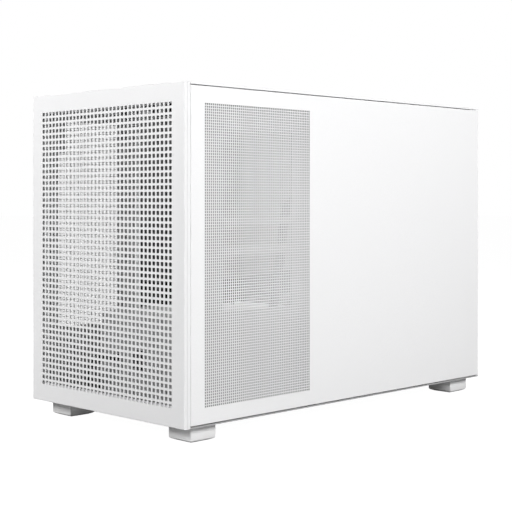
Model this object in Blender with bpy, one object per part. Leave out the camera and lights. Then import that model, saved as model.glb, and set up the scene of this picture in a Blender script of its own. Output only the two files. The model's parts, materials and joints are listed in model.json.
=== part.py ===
"""Compact desktop computer tower, modelled as the pieces it is put together from.

Sizes are in millimetres and MM turns them into metres. +Z is up and the front looks along -Y. The origin is
on the floor, in the middle of the footprint. +X is the side with the plain steel panel, behind which the
mainboard stands, and -X is the side with the glass.
"""

import math

import bmesh
import bpy
from mathutils import Matrix, Vector

MM = 0.001

# Driving dimensions of the whole tower
WIDTH = 230.0
LENGTH = 444.0
HEIGHT = 320.0
FOOT_HEIGHT = 16.0
SHEET = 1.0
GAP = 0.3
THROUGH = 5.0

SIDE = WIDTH / 2
FRONT = -LENGTH / 2
REAR = LENGTH / 2
FLOOR = FOOT_HEIGHT
TOP = HEIGHT

# Front cover: a folded steel sheet on a plastic frame
COVER_DEPTH = 3.4
COVER_FRAME_DEPTH = 3.3
COVER_BORDER = 18.0
CHASSIS_FRONT = FRONT + COVER_DEPTH + COVER_FRAME_DEPTH + 2 * GAP + 0.2

# Side panels and the seams above and below them
HEM = 1.8
SEAM = 0.8
PANEL_LOW = FLOOR + SHEET + SEAM
PANEL_HIGH = TOP - HEM - SEAM
PANEL_FOLD = 7.0
LEFT_SPLIT = -95.0
GLASS = 4.0

# Chassis planes: rails inside the folded panels, plates across the tower
FRAME_SIDE = SIDE - PANEL_FOLD - 0.4
RAIL_X = 104.0
REAR_PLATE = REAR - 2.5
REAR_INSIDE = REAR_PLATE - SHEET
CHASSIS_LOW = FLOOR + SHEET + GAP
CHASSIS_HIGH = TOP - HEM - GAP
FRONT_FLANGE = 8.0
INNER_LOW = CHASSIS_LOW + SHEET + GAP
INNER_HIGH = CHASSIS_HIGH - SHEET - GAP
STRIP_Y = (CHASSIS_FRONT + FRONT_FLANGE + GAP, REAR_INSIDE - 1)

# Left fan bracket: an opening for two large fans, one above the other
BRACKET_X = -106.3
BRACKET_REAR = -97.0
FAN_PITCH = 140.0
WAVE_CENTRE_Z = 230.0
WAVE_DEPTH = 13.0
OPENING_FRONT = -197.5
OPENING_REAR = -112.5
OPENING_LOW = 87.0
OPENING_HIGH = 296.0
SCREW_SLOT_Y = -115.8

# Right service plate: a tall opening crossed by two bars
SERVICE_X = 102.7
SERVICE_REAR = -44.0
SERVICE_OPENING_Y = (-164.5, -74.0)
SERVICE_OPENINGS_Z = ((115.0, 165.5), (173.5, 193.5), (200.0, 281.0))

# Mainboard and the tray it stands on
TRAY_X = 86.0
TRAY_HIGH = 290.0
BOARD_X = 80.0
BOARD_THICKNESS = 1.6
BOARD_SIZE = 244.0
BOARD_REAR = REAR_PLATE - 4.0
BOARD_LOW = 37.0
BOARD_HIGH = BOARD_LOW + BOARD_SIZE
BOARD_FRONT = BOARD_REAR - BOARD_SIZE
BOARD_FACE = BOARD_X - BOARD_THICKNESS
ON_BOARD = BOARD_FACE - GAP
SOCKET_Y = 112.0
SOCKET_Z = 208.0
MEMORY_Y = (20.0, 29.5)
MEMORY_LOW = 132.0
MEMORY_HIGH = 270.0
LATCH_X = 74.2
LATCH_Z = MEMORY_HIGH + 3.4

# Expansion slots, lowest first. The card sits in the highest one and covers two.
SLOT_PITCH = 20.32
SLOTS = [46.0 + SLOT_PITCH * n for n in range(4)]
SLOT_HALF = 6.8
COVER_HALF = 9.2
SLOT_X = (-28.0, 76.0)
SLOT_COVER_X = (-34.0, 80.0)
SLOT_COVER_Y = (REAR_INSIDE - GAP - 1.2, REAR_INSIDE - GAP)
CARD_Z = SLOTS[-1]
CARD_FRONT = -10.0
CARD_FAN_Y = (36.0, 130.0)
CARD_FAN_X = 12.0
CARD_FAN_RADIUS = 42.0
CARD_FAN_Z = 75.0
SHROUD_X = (-40.0, 64.0)
SHROUD_Y = (CARD_FRONT - 2.0, 204.0)
SHROUD_Z = (69.0, CARD_Z - 1.1)

# Rear sockets: name, middle height, size along Z, size along X
APERTURE_X = (36.0, 79.0)
APERTURE_Z = (119.0, 275.0)
PORT_FRONT = 198.0
PORT_REAR = REAR_PLATE + 0.1
USB_BLOCK = (246.0, 36.0, 16.0)
NETWORK_BLOCK = (210.0, 16.5, 15.0)
VIDEO_BLOCK = (180.0, 18.0, 8.0)
AUDIO_BLOCK = (142.0, 34.0, 12.0)
JACK_PITCH = 11.5

# Fans
REAR_FAN_SIZE = 120.0
REAR_FAN_DEPTH = 25.0
REAR_FAN_X = -28.0
REAR_FAN_Z = 222.0
REAR_FAN_FACE = REAR_INSIDE - GAP
COOLER_FAN_SIZE = 120.0
COOLER_FAN_X = (21.7, 36.7)
BLADE_CLEARANCE = 1.5
SUPPLY_FAN_RADIUS = 62.0

# Power supply, lying on the bottom behind the front cover
SUPPLY_X = (-67.5, 82.5)
SUPPLY_Y = (-171.0, -31.0)
SUPPLY_Z = (FLOOR + SHEET + 2.0, FLOOR + SHEET + 88.0)
SUPPLY_FAN_X = sum(SUPPLY_X) / 2
SUPPLY_FAN_Y = sum(SUPPLY_Y) / 2
SUPPLY_FAN_Z = 28.0
ROCKER = (-8.0, SUPPLY_Y[0], 60.0)
ROCKER_HALF = (5.5, 4.0, 7.5)

# Mains inlet on the rear panel
INLET = (-80.0, 60.0)
INLET_HALF = (14.0, 10.0)

# Controls on the top plate
CONTROL_Y = FRONT + 24.0
POWER_BUTTON_X = 84.0
POWER_BUTTON_RADIUS = 6.0
RESET_BUTTON_X = 66.0
RESET_BUTTON_RADIUS = 3.0
BUTTON_LOW = TOP - 12.0
USB_A_X = 40.0
USB_C_X = 18.0
AUDIO_X = 2.0
CONTROL_BOARD_Z = 294.0

# Top vent and the filter that lies in it
VENT_X = (-82.0, 70.0)
VENT_Y = (-150.0, 196.0)
VENT_LEDGE = 6.0
FILTER_SEAT = TOP - 1.8

# Feet
FOOT_TOP = 30.2
FOOT_CHAMFER = 3.4
FOOT_X = 89.7
FOOT_Y = (-190.2, 198.0)

ROUND_STEPS = 32
FINE_STEPS = 48

FINISHES = {
    "white_steel": ((0.86, 0.86, 0.85), 0.45, 0.0),
    "white_plastic": ((0.85, 0.85, 0.84), 0.5, 0.0),
    "clear_glass": ((0.80, 0.86, 0.85), 0.05, 0.0),
    "filter_mesh": ((0.80, 0.80, 0.79), 0.7, 0.0),
    "foot_plastic": ((0.84, 0.84, 0.83), 0.55, 0.0),
    "dark_board": ((0.03, 0.035, 0.04), 0.5, 0.0),
    "dark_plastic": ((0.04, 0.04, 0.045), 0.45, 0.0),
    "bare_steel": ((0.60, 0.60, 0.61), 0.35, 1.0),
    "aluminium": ((0.78, 0.79, 0.80), 0.35, 1.0),
    "cable_jacket": ((0.75, 0.75, 0.74), 0.6, 0.0),
}


# ---- Tools for making pieces --------------------------------------------------------------------------


def clear_scene():
    for obj in list(bpy.data.objects):
        bpy.data.objects.remove(obj, do_unlink=True)


def finish_material(name, finish):
    colour, roughness, metallic = FINISHES[finish]
    material = bpy.data.materials.new(name + "_" + finish)
    material.use_nodes = True
    shader = material.node_tree.nodes["Principled BSDF"]
    shader.inputs["Base Color"].default_value = (*colour, 1.0)
    shader.inputs["Roughness"].default_value = roughness
    shader.inputs["Metallic"].default_value = metallic
    if finish == "clear_glass":
        shader.inputs["Transmission Weight"].default_value = 1.0
    return material


def add_object(name, bm, finish=None, smooth=False):
    """Puts a mesh in the scene. Without a finish it is a guide that only cuts or joins other pieces."""
    mesh = bpy.data.meshes.new(name)
    bm.to_mesh(mesh)
    bm.free()
    if smooth:
        mesh.shade_smooth()
        mesh.set_sharp_from_angle(angle=math.radians(35))
    obj = bpy.data.objects.new(name, mesh)
    bpy.context.scene.collection.objects.link(obj)
    if finish:
        mesh.materials.append(finish_material(name, finish))
    else:
        obj.hide_render = True
        obj.display_type = "WIRE"
    return obj


def add_box(bm, low, high):
    size = [(b - a) * MM for a, b in zip(low, high)]
    middle = [(a + b) / 2 * MM for a, b in zip(low, high)]
    transform = Matrix.Translation(middle) @ Matrix.Diagonal((*size, 1.0))
    bmesh.ops.create_cube(bm, size=1.0, matrix=transform)


def add_rod(bm, centre, axis, radius, length, steps=ROUND_STEPS):
    turn = Vector((0, 0, 1)).rotation_difference(Vector(axis)).to_matrix().to_4x4()
    transform = Matrix.Translation([v * MM for v in centre]) @ turn
    bmesh.ops.create_cone(
        bm,
        cap_ends=True,
        segments=steps,
        radius1=radius * MM,
        radius2=radius * MM,
        depth=length * MM,
        matrix=transform,
    )


def block(name, low, high, finish):
    """A plain box whose origin is at its middle."""
    middle = [(a + b) / 2 for a, b in zip(low, high)]
    bm = bmesh.new()
    add_box(bm, [a - m for a, m in zip(low, middle)], [b - m for b, m in zip(high, middle)])
    obj = add_object(name, bm, finish)
    obj.location = [m * MM for m in middle]
    return obj


def rod(name, centre, axis, radius, length, finish, steps=ROUND_STEPS):
    """A plain round piece whose origin is at its middle."""
    bm = bmesh.new()
    add_rod(bm, (0, 0, 0), axis, radius, length, steps)
    obj = add_object(name, bm, finish, smooth=True)
    obj.location = [v * MM for v in centre]
    return obj


def use_guide(obj, guide, operation):
    modifier = obj.modifiers.new(guide.name, "BOOLEAN")
    modifier.object = guide
    modifier.operation = operation
    modifier.solver = "EXACT"


def shape_with_boxes(obj, word, operation, boxes):
    bm = bmesh.new()
    for low, high in boxes:
        add_box(bm, low, high)
    use_guide(obj, add_object(obj.name + "_" + word, bm), operation)


def cut_boxes(obj, *boxes, word="cut"):
    shape_with_boxes(obj, word, "DIFFERENCE", boxes)


def join_boxes(obj, *boxes, word="joined"):
    shape_with_boxes(obj, word, "UNION", boxes)


def shape_with_rods(obj, word, operation, rods):
    """rods: (centre, axis, radius, length) of each."""
    bm = bmesh.new()
    for centre, axis, radius, length in rods:
        add_rod(bm, centre, axis, radius, length)
    use_guide(obj, add_object(obj.name + "_" + word, bm), operation)


def cut_rods(obj, *rods, word="bored"):
    shape_with_rods(obj, word, "DIFFERENCE", rods)


def join_rods(obj, *rods, word="bossed"):
    shape_with_rods(obj, word, "UNION", rods)


def slotted(low, high, axis, count, share):
    """Splits one box into a row of slots along an axis. share is the part of each step that a slot takes."""
    boxes = []
    step = (high[axis] - low[axis]) / count
    for n in range(count):
        a, b = list(low), list(high)
        a[axis] = low[axis] + step * (n + (1 - share) / 2)
        b[axis] = a[axis] + step * share
        boxes.append((a, b))
    return boxes


# ---- Outer covers -------------------------------------------------------------------------------------


def make_front_cover():
    back = FRONT + COVER_DEPTH
    cover = block("front_cover", (-SIDE, FRONT, FLOOR), (SIDE, back, TOP), "white_steel")
    inner = SIDE - SHEET
    cut_boxes(cover, ((-inner, FRONT + SHEET, FLOOR + SHEET), (inner, back + THROUGH, TOP - SHEET)))

    low = back + GAP
    high = low + COVER_FRAME_DEPTH
    frame = block("front_cover_frame", (-SIDE, low, FLOOR), (SIDE, high, TOP), "white_plastic")
    inner = SIDE - COVER_BORDER
    border_low = (-inner, low - THROUGH, FLOOR + COVER_BORDER)
    cut_boxes(frame, (border_low, (inner, high + THROUGH, TOP - COVER_BORDER)))


def make_right_panel():
    low = (SIDE - PANEL_FOLD, CHASSIS_FRONT, PANEL_LOW)
    panel = block("right_side_panel", low, (SIDE, REAR, PANEL_HIGH), "white_steel")
    inside_low = (low[0] - THROUGH, low[1] + SHEET, low[2] + SHEET)
    cut_boxes(panel, (inside_low, (SIDE - SHEET, REAR - SHEET, PANEL_HIGH - SHEET)))


def make_left_side():
    low = (-SIDE, CHASSIS_FRONT, PANEL_LOW)
    high = (-SIDE + PANEL_FOLD, LEFT_SPLIT - GAP, PANEL_HIGH)
    cover = block("left_mesh_cover", low, high, "white_steel")
    inside_low = (-SIDE + SHEET, CHASSIS_FRONT + SHEET, PANEL_LOW + SHEET)
    cut_boxes(cover, (inside_low, (high[0] + THROUGH, high[1] - SHEET, PANEL_HIGH - SHEET)))

    low = (-SIDE, LEFT_SPLIT + GAP, PANEL_LOW)
    block("left_glass", low, (-SIDE + GLASS, REAR, PANEL_HIGH), "clear_glass")


def make_top():
    low = (-SIDE, CHASSIS_FRONT, TOP - HEM)
    plate = block("top_frame", low, (SIDE, REAR, TOP), "white_steel")
    under_low = (-SIDE + 2, CHASSIS_FRONT + 2, TOP - HEM - THROUGH)
    cut_boxes(plate, (under_low, (SIDE - 2, REAR - 2, TOP - SHEET)), word="hollow")
    right_rail = ((RAIL_X, STRIP_Y[0], TOP - 14), (RAIL_X + SHEET, STRIP_Y[1], TOP - 0.4))
    left_rail = ((-RAIL_X - SHEET, STRIP_Y[0], TOP - 14), (-RAIL_X, STRIP_Y[1], TOP - 0.4))
    seat_low = (VENT_X[0] - 3, VENT_Y[0] - 3, FILTER_SEAT - 1.2)
    join_boxes(plate, right_rail, left_rail, (seat_low, (VENT_X[1] + 3, VENT_Y[1] + 3, TOP - 0.4)))
    recess_low = (VENT_X[0], VENT_Y[0], FILTER_SEAT)
    cut_boxes(plate, (recess_low, (VENT_X[1], VENT_Y[1], TOP + THROUGH)), word="recess")
    vent_low = (VENT_X[0] + VENT_LEDGE, VENT_Y[0] + VENT_LEDGE, FILTER_SEAT - THROUGH)
    vent_high = (VENT_X[1] - VENT_LEDGE, VENT_Y[1] - VENT_LEDGE, TOP + THROUGH)
    cut_boxes(plate, *slotted(vent_low, vent_high, 1, 2, 0.95), word="vent")
    cut_rods(
        plate,
        ((POWER_BUTTON_X, CONTROL_Y, TOP), (0, 0, 1), POWER_BUTTON_RADIUS + 0.4, 20),
        ((RESET_BUTTON_X, CONTROL_Y, TOP), (0, 0, 1), RESET_BUTTON_RADIUS + 0.4, 20),
        ((AUDIO_X, CONTROL_Y, TOP), (0, 0, 1), 3.5, 20),
    )
    below, above = TOP - 8, TOP + THROUGH
    usb_a = ((USB_A_X - 7.6, CONTROL_Y - 3.9, below), (USB_A_X + 7.6, CONTROL_Y + 3.9, above))
    usb_c = ((USB_C_X - 5.2, CONTROL_Y - 2.4, below), (USB_C_X + 5.2, CONTROL_Y + 2.4, above))
    cut_boxes(plate, usb_a, usb_c, word="sockets")

    play = 0.5
    low = (VENT_X[0] + play, VENT_Y[0] + play, FILTER_SEAT + GAP)
    block("top_filter", low, (VENT_X[1] - play, VENT_Y[1] - play, TOP - 0.1), "filter_mesh")


# ---- Chassis ------------------------------------------------------------------------------------------


def make_bottom():
    pan = block("bottom_pan", (-SIDE, CHASSIS_FRONT, FLOOR), (SIDE, REAR, FLOOR + SHEET), "white_steel")
    right_lip = ((RAIL_X, STRIP_Y[0], FLOOR + 0.4), (RAIL_X + SHEET, STRIP_Y[1], FLOOR + 12))
    left_lip = ((-RAIL_X - SHEET, STRIP_Y[0], FLOOR + 0.4), (-RAIL_X, STRIP_Y[1], FLOOR + 12))
    join_boxes(pan, right_lip, left_lip)
    vent_low = (SUPPLY_FAN_X - 55, SUPPLY_FAN_Y - 55, FLOOR - THROUGH)
    vent_high = (SUPPLY_FAN_X + 55, SUPPLY_FAN_Y + 55, FLOOR + THROUGH)
    cut_boxes(pan, *slotted(vent_low, vent_high, 1, 12, 0.6))


def make_front_frame():
    low = (-FRAME_SIDE, CHASSIS_FRONT, CHASSIS_LOW)
    high = (FRAME_SIDE, CHASSIS_FRONT + FRONT_FLANGE, CHASSIS_HIGH)
    frame = block("front_frame", low, high, "white_steel")
    inside_low = (low[0] + SHEET, low[1] + SHEET, low[2] + SHEET)
    cut_boxes(frame, (inside_low, (high[0] - SHEET, high[1] + THROUGH, high[2] - SHEET)), word="hollow")
    hole_low = (-SIDE + COVER_BORDER, low[1] - THROUGH, FLOOR + COVER_BORDER)
    hole_high = (SIDE - COVER_BORDER, high[1] + THROUGH, TOP - COVER_BORDER)
    cut_boxes(frame, (hole_low, hole_high))


def make_rear_panel():
    low = (-SIDE + GLASS + GAP, REAR_INSIDE, CHASSIS_LOW)
    panel = block("rear_panel", low, (FRAME_SIDE, REAR_PLATE, TOP - SHEET - GAP), "white_steel")
    near, far = REAR_INSIDE - THROUGH, REAR_PLATE + THROUGH
    holes = [((SLOT_X[0], near, z - SLOT_HALF), (SLOT_X[1], far, z + SLOT_HALF)) for z in SLOTS]
    holes.append(((APERTURE_X[0], near, APERTURE_Z[0]), (APERTURE_X[1], far, APERTURE_Z[1])))
    inlet_low = (INLET[0] - INLET_HALF[0] - 0.4, near, INLET[1] - INLET_HALF[1] - 0.4)
    inlet_high = (INLET[0] + INLET_HALF[0] + 0.4, far, INLET[1] + INLET_HALF[1] + 0.4)
    holes.append((inlet_low, inlet_high))
    cut_boxes(panel, *holes)


def make_tray():
    low = (TRAY_X, SERVICE_REAR + 1, CHASSIS_LOW)
    tray = block("motherboard_tray", low, (TRAY_X + SHEET, REAR_INSIDE - GAP, TRAY_HIGH), "white_steel")
    near, far = TRAY_X - THROUGH, TRAY_X + THROUGH
    cooler_window = ((near, SOCKET_Y - 40, SOCKET_Z - 40), (far, SOCKET_Y + 40, SOCKET_Z + 40))
    cable_slots = [((near, -41.0, z), (far, -32.0, z + 60)) for z in (70.0, 180.0)]
    lead_notch = ((near, -24.0, 19.0), (far, 2.0, 35.0))
    cut_boxes(tray, cooler_window, lead_notch, *cable_slots)
    standoff_y = (BOARD_FRONT + 6, SOCKET_Y - 30, BOARD_REAR - 6)
    standoff_z = (BOARD_LOW + 6, BOARD_HIGH - 6)
    length = TRAY_X + 0.4 - BOARD_X - GAP
    middle = BOARD_X + GAP + length / 2
    posts = [((middle, y, z), (1, 0, 0), 3.0, length) for y in standoff_y for z in standoff_z]
    join_rods(tray, *posts)


def make_left_fan_bracket():
    """A plate whose opening has a straight front edge and a rear edge of two shallow arcs, one to each fan."""
    low = (BRACKET_X, CHASSIS_FRONT + SHEET + GAP, INNER_LOW)
    high = (BRACKET_X + SHEET, BRACKET_REAR, INNER_HIGH)
    bracket = block("left_fan_bracket", low, high, "white_steel")

    half = FAN_PITCH / 2
    radius = (half**2 + WAVE_DEPTH**2) / (2 * WAVE_DEPTH)
    outline = [(OPENING_FRONT, OPENING_LOW), (OPENING_FRONT, OPENING_HIGH - 32)]
    outline += [(OPENING_FRONT + 8, OPENING_HIGH - 32), (OPENING_FRONT + 8, OPENING_HIGH)]
    steps = 26
    for n in range(steps + 1):
        z = OPENING_HIGH + (OPENING_LOW - OPENING_HIGH) * n / steps
        centre = WAVE_CENTRE_Z if z > WAVE_CENTRE_Z - half else WAVE_CENTRE_Z - FAN_PITCH
        y = OPENING_REAR - radius + math.sqrt(radius**2 - (z - centre) ** 2)
        outline.append((y, z))
    bm = bmesh.new()
    corners = [bm.verts.new(((BRACKET_X - THROUGH) * MM, y * MM, z * MM)) for y, z in outline]
    face = bm.faces.new(corners)
    side = bmesh.ops.extrude_face_region(bm, geom=[face])["geom"]
    moved = [v for v in side if isinstance(v, bmesh.types.BMVert)]
    bmesh.ops.translate(bm, verts=moved, vec=(2 * THROUGH * MM, 0, 0))
    bmesh.ops.recalc_face_normals(bm, faces=bm.faces)
    use_guide(bracket, add_object("left_fan_bracket_opening", bm), "DIFFERENCE")

    near, far = BRACKET_X - THROUGH, BRACKET_X + THROUGH
    slots = []
    for z_low, z_high in ((277.0, 300.0), (140.0, 178.0)):
        slots.append(((near, SCREW_SLOT_Y + 2, z_low), (far, SCREW_SLOT_Y + 7, z_high)))
    cut_boxes(bracket, *slots, word="screw_slots")


def make_service_plate():
    """A plate beside the right panel, folded inwards at its rear edge to meet the tray."""
    low = (TRAY_X - 2, CHASSIS_FRONT + SHEET + GAP, INNER_LOW)
    high = (SERVICE_X + SHEET, SERVICE_REAR, INNER_HIGH)
    plate = block("right_service_plate", low, high, "white_steel")
    inside_low = [v - THROUGH for v in low]
    cut_boxes(plate, (inside_low, (SERVICE_X, SERVICE_REAR - SHEET, INNER_HIGH + THROUGH)), word="fold")
    y_low, y_high = SERVICE_OPENING_Y
    holes = []
    for z_low, z_high in SERVICE_OPENINGS_Z:
        holes.append(((SERVICE_X - THROUGH, y_low, z_low), (SERVICE_X + THROUGH, y_high, z_high)))
    cut_boxes(plate, *holes)


def make_feet():
    """Four blocks with rounded upright corners and a chamfer round the bottom."""
    half = FOOT_TOP / 2
    high = FLOOR - GAP
    for side_name, x in (("left", -FOOT_X), ("right", FOOT_X)):
        for end_name, y in zip(("front", "rear"), FOOT_Y):
            bm = bmesh.new()
            add_box(bm, (-half, -half, FOOT_CHAMFER), (half, half, high))
            upright = [e for e in bm.edges if abs(e.verts[0].co.z - e.verts[1].co.z) > 5 * MM]
            bmesh.ops.bevel(
                bm, geom=upright, offset=2 * MM, offset_type="OFFSET", segments=3, profile=0.5,
                affect="EDGES", material=-1,
            )
            under = min(bm.faces, key=lambda f: f.calc_center_median().z)
            grown = bmesh.ops.extrude_face_region(bm, geom=[under])["geom"]
            bmesh.ops.delete(bm, geom=[under], context="FACES_ONLY")
            sole = [v for v in grown if isinstance(v, bmesh.types.BMVert)]
            bmesh.ops.scale(bm, verts=sole, vec=(1 - FOOT_CHAMFER / half, 1 - FOOT_CHAMFER / half, 1))
            bmesh.ops.translate(bm, verts=sole, vec=(0, 0, -FOOT_CHAMFER * MM))
            foot = add_object("foot_" + end_name + "_" + side_name, bm, "foot_plastic", smooth=True)
            foot.location = (x * MM, y * MM, 0)


# ---- Controls on the top plate ------------------------------------------------------------------------


def make_controls():
    low = (-8.0, CONTROL_Y - 11, CONTROL_BOARD_Z)
    high = (96.0, CONTROL_Y + 11, CONTROL_BOARD_Z + 1.6)
    board = block("front_io_board", low, high, "dark_board")
    base = CONTROL_BOARD_Z + 1
    switch_top = BUTTON_LOW - 1.9
    switches = []
    for x in (POWER_BUTTON_X, RESET_BUTTON_X):
        switches.append(((x - 3, CONTROL_Y - 3, base), (x + 3, CONTROL_Y + 3, switch_top)))
    join_boxes(board, *switches)

    height = TOP - 0.1 - BUTTON_LOW
    buttons = (
        ("power_button", POWER_BUTTON_X, POWER_BUTTON_RADIUS),
        ("reset_button", RESET_BUTTON_X, RESET_BUTTON_RADIUS),
    )
    for name, x, radius in buttons:
        centre = (x, CONTROL_Y, BUTTON_LOW + height / 2)
        button = rod(name, centre, (0, 0, 1), radius, height, "white_plastic")
        join_rods(button, ((x, CONTROL_Y, TOP - 2.8), (0, 0, 1), radius + 1.5, 2.0))

    low_z = CONTROL_BOARD_Z + 2
    high_z = TOP - 0.1
    usb_low = (USB_A_X - 7.2, CONTROL_Y - 3.5, low_z)
    usb = block("front_usb_port", usb_low, (USB_A_X + 7.2, CONTROL_Y + 3.5, high_z), "bare_steel")
    pocket = ((USB_A_X - 6.5, CONTROL_Y - 2.8, high_z - 14), (USB_A_X + 6.5, CONTROL_Y + 2.8, high_z + 1))
    cut_boxes(usb, pocket)
    usb_c_low = (USB_C_X - 4.8, CONTROL_Y - 2.0, low_z)
    usb_c = block("front_usb_c_port", usb_c_low, (USB_C_X + 4.8, CONTROL_Y + 2.0, high_z), "bare_steel")
    pocket = ((USB_C_X - 4.3, CONTROL_Y - 1.5, high_z - 7), (USB_C_X + 4.3, CONTROL_Y + 1.5, high_z + 1))
    cut_boxes(usb_c, pocket)
    middle = (AUDIO_X, CONTROL_Y, (low_z + high_z) / 2)
    audio = rod("front_audio_port", middle, (0, 0, 1), 3.1, high_z - low_z, "dark_plastic")
    cut_rods(audio, ((AUDIO_X, CONTROL_Y, high_z), (0, 0, 1), 1.8, 28))


# ---- Mainboard and what stands on it ------------------------------------------------------------------


def make_mainboard():
    low = (BOARD_FACE, BOARD_FRONT, BOARD_LOW)
    board = block("mainboard", low, (BOARD_X, BOARD_REAR, BOARD_HIGH), "dark_board")
    root = BOARD_FACE + 0.8
    memory = [((70.5, y - 3.2, MEMORY_LOW), (root, y + 3.2, MEMORY_HIGH)) for y in MEMORY_Y]
    card_slot = ((67.6, 66.0, CARD_Z - 3.8), (root, 157.0, CARD_Z + 3.8))
    low_slot = ((67.6, 66.0, SLOTS[0] - 3.8), (root, 157.0, SLOTS[0] + 3.8))
    main_header = ((66.0, -27.5, 190.0), (root, -18.0, 242.0))
    processor_header = ((66.0, 172.0, 258.0), (root, 190.0, 276.0))
    join_boxes(board, *memory, card_slot, low_slot, main_header, processor_header)
    grooves = [((65.0, y - 1.1, MEMORY_LOW + 2), (75.6, y + 1.1, MEMORY_HIGH - 2)) for y in MEMORY_Y]
    grooves.append(((60.0, 68.5, CARD_Z - 1.1), (76.0, 154.5, CARD_Z + 1.1)))
    grooves.append(((60.0, 68.5, SLOTS[0] - 1.1), (76.0, 154.5, SLOTS[0] + 1.1)))
    cut_boxes(board, *grooves)

    low = (ON_BOARD - 3.5, SOCKET_Y - 22.5, SOCKET_Z - 20)
    processor = block("processor", low, (ON_BOARD, SOCKET_Y + 22.5, SOCKET_Z + 20), "bare_steel")
    lid = ((ON_BOARD - 5.5, SOCKET_Y - 15, SOCKET_Z - 15), (ON_BOARD - 3, SOCKET_Y + 15, SOCKET_Z + 15))
    join_boxes(processor, lid)

    low = (ON_BOARD - 2.4, 22.0, 114.5)
    block("storage_drive", low, (ON_BOARD, 102.0, 126.5), "dark_board")

    chipset_low = (68.0, -5.0, 62.0)
    chipset = block("chipset_heatsink", chipset_low, (ON_BOARD, 50.0, 97.0), "aluminium")
    groove_low = (67.0, -10.0, 66.0)
    cut_boxes(chipset, *slotted(groove_low, (72.0, 60.0, 93.0), 2, 5, 0.4))

    regulator_low = (58.0, 174.0, 160.0)
    regulator = block("regulator_heatsink", regulator_low, (ON_BOARD, 190.0, 252.0), "aluminium")
    groove_low = (57.0, 170.0, 166.0)
    cut_boxes(regulator, *slotted(groove_low, (64.0, 195.0, 246.0), 2, 10, 0.4))


def make_memory():
    """Two sticks, each held at its upper end by a latch that tips outwards."""
    for number, y in enumerate(MEMORY_Y, 1):
        foot_low = (70.0, y - 0.7, MEMORY_LOW + 2.4)
        stick = block(f"memory_stick_{number}", foot_low, (75.2, y + 0.7, MEMORY_HIGH - 2.4), "dark_board")
        spreader = ((46.0, y - 2.8, MEMORY_LOW + 2.4), (70.2, y + 2.8, MEMORY_HIGH - 2.4))
        join_boxes(stick, spreader)

        bm = bmesh.new()
        add_box(bm, (-6.0, -2.6, -2.4), (2.0, 2.6, 2.6))
        latch = add_object(f"memory_latch_{number}", bm, "dark_plastic")
        latch.location = (LATCH_X * MM, y * MM, LATCH_Z * MM)


def make_cooler():
    half = COOLER_FAN_SIZE / 2
    y, z = SOCKET_Y, SOCKET_Z
    base_top = ON_BOARD - 5.5 - GAP
    sink_low = (56.0, y - half + 2, z - half + 2)
    sink = block("cooler_heatsink", sink_low, (59.0, y + half - 2, z + half - 2), "aluminium")
    pedestal = ((58.0, y - 20, z - 20), (base_top, y + 20, z + 20))
    fins_low = (COOLER_FAN_X[1] + GAP, y - half + 2, z - half + 2)
    fins = slotted(fins_low, (57.0, y + half - 2, z + half - 2), 2, 24, 0.2)
    join_boxes(sink, pedestal, *fins)

    fan_frame("cooler_fan_frame", (sum(COOLER_FAN_X) / 2, y, z), (1, 0, 0), COOLER_FAN_SIZE, 15.0, 1)


# ---- Fans ---------------------------------------------------------------------------------------------


def fan_frame(name, centre, axis, size, depth, spoke_side):
    """A square frame round a bore, with a hub plate on four spokes. spoke_side: 1 or -1 along the axis."""
    index = axis.index(1)
    low = [c - size / 2 for c in centre]
    high = [c + size / 2 for c in centre]
    low[index], high[index] = centre[index] - depth / 2, centre[index] + depth / 2
    frame = block(name, low, high, "white_plastic")
    bore = size / 2 - 2.5
    turn_steps = FINE_STEPS
    bm = bmesh.new()
    add_rod(bm, centre, axis, bore, depth + 2 * THROUGH, turn_steps)
    use_guide(frame, add_object(name + "_bore", bm), "DIFFERENCE")

    plate = 2.5
    middle = list(centre)
    middle[index] += spoke_side * (depth - plate) / 2
    reach = bore + 1.5
    spokes = []
    for other in (n for n in range(3) if n != index):
        a = [m - 2.0 for m in middle]
        b = [m + 2.0 for m in middle]
        a[index], b[index] = middle[index] - plate / 2, middle[index] + plate / 2
        a[other], b[other] = middle[other] - reach, middle[other] + reach
        spokes.append((a, b))
    hub = size * 0.17
    join_rods(frame, (middle, axis, hub, plate))
    for number, spoke in enumerate(spokes):
        join_boxes(frame, spoke, word=f"spoke_{number}")
    return frame


def fan_rotor(name, centre, axis, radius, depth, blades, finish):
    """A hub with pitched blades, its origin on its own axis."""
    bm = bmesh.new()
    add_rod(bm, (0, 0, 0), (0, 0, 1), radius * 0.34, depth, ROUND_STEPS)
    hub = add_object(name, bm, finish, smooth=True)
    turn = Vector((0, 0, 1)).rotation_difference(Vector(axis)).to_matrix().to_4x4()
    place = Matrix.Translation([c * MM for c in centre]) @ turn
    hub.matrix_world = place

    bm = bmesh.new()
    chord = 2 * math.pi * radius * 0.62 / blades * 0.8
    pitch = math.asin(min(0.9, (depth - 3) / chord))
    inner = radius * 0.28
    for n in range(blades):
        angle = 2 * math.pi * n / blades
        spin = Matrix.Rotation(angle, 4, "Z") @ Matrix.Translation(((inner + radius) / 2 * MM, 0, 0))
        tilt = Matrix.Rotation(pitch, 4, "X")
        size = Matrix.Diagonal(((radius - inner) * MM, chord * MM, 1.4 * MM, 1.0))
        bmesh.ops.create_cube(bm, size=1.0, matrix=place @ spin @ tilt @ size)
    use_guide(hub, add_object(name + "_blades", bm), "UNION")
    trim = bmesh.new()
    add_rod(trim, centre, axis, radius, depth, FINE_STEPS)
    use_guide(hub, add_object(name + "_outline", trim), "INTERSECT")


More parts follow.
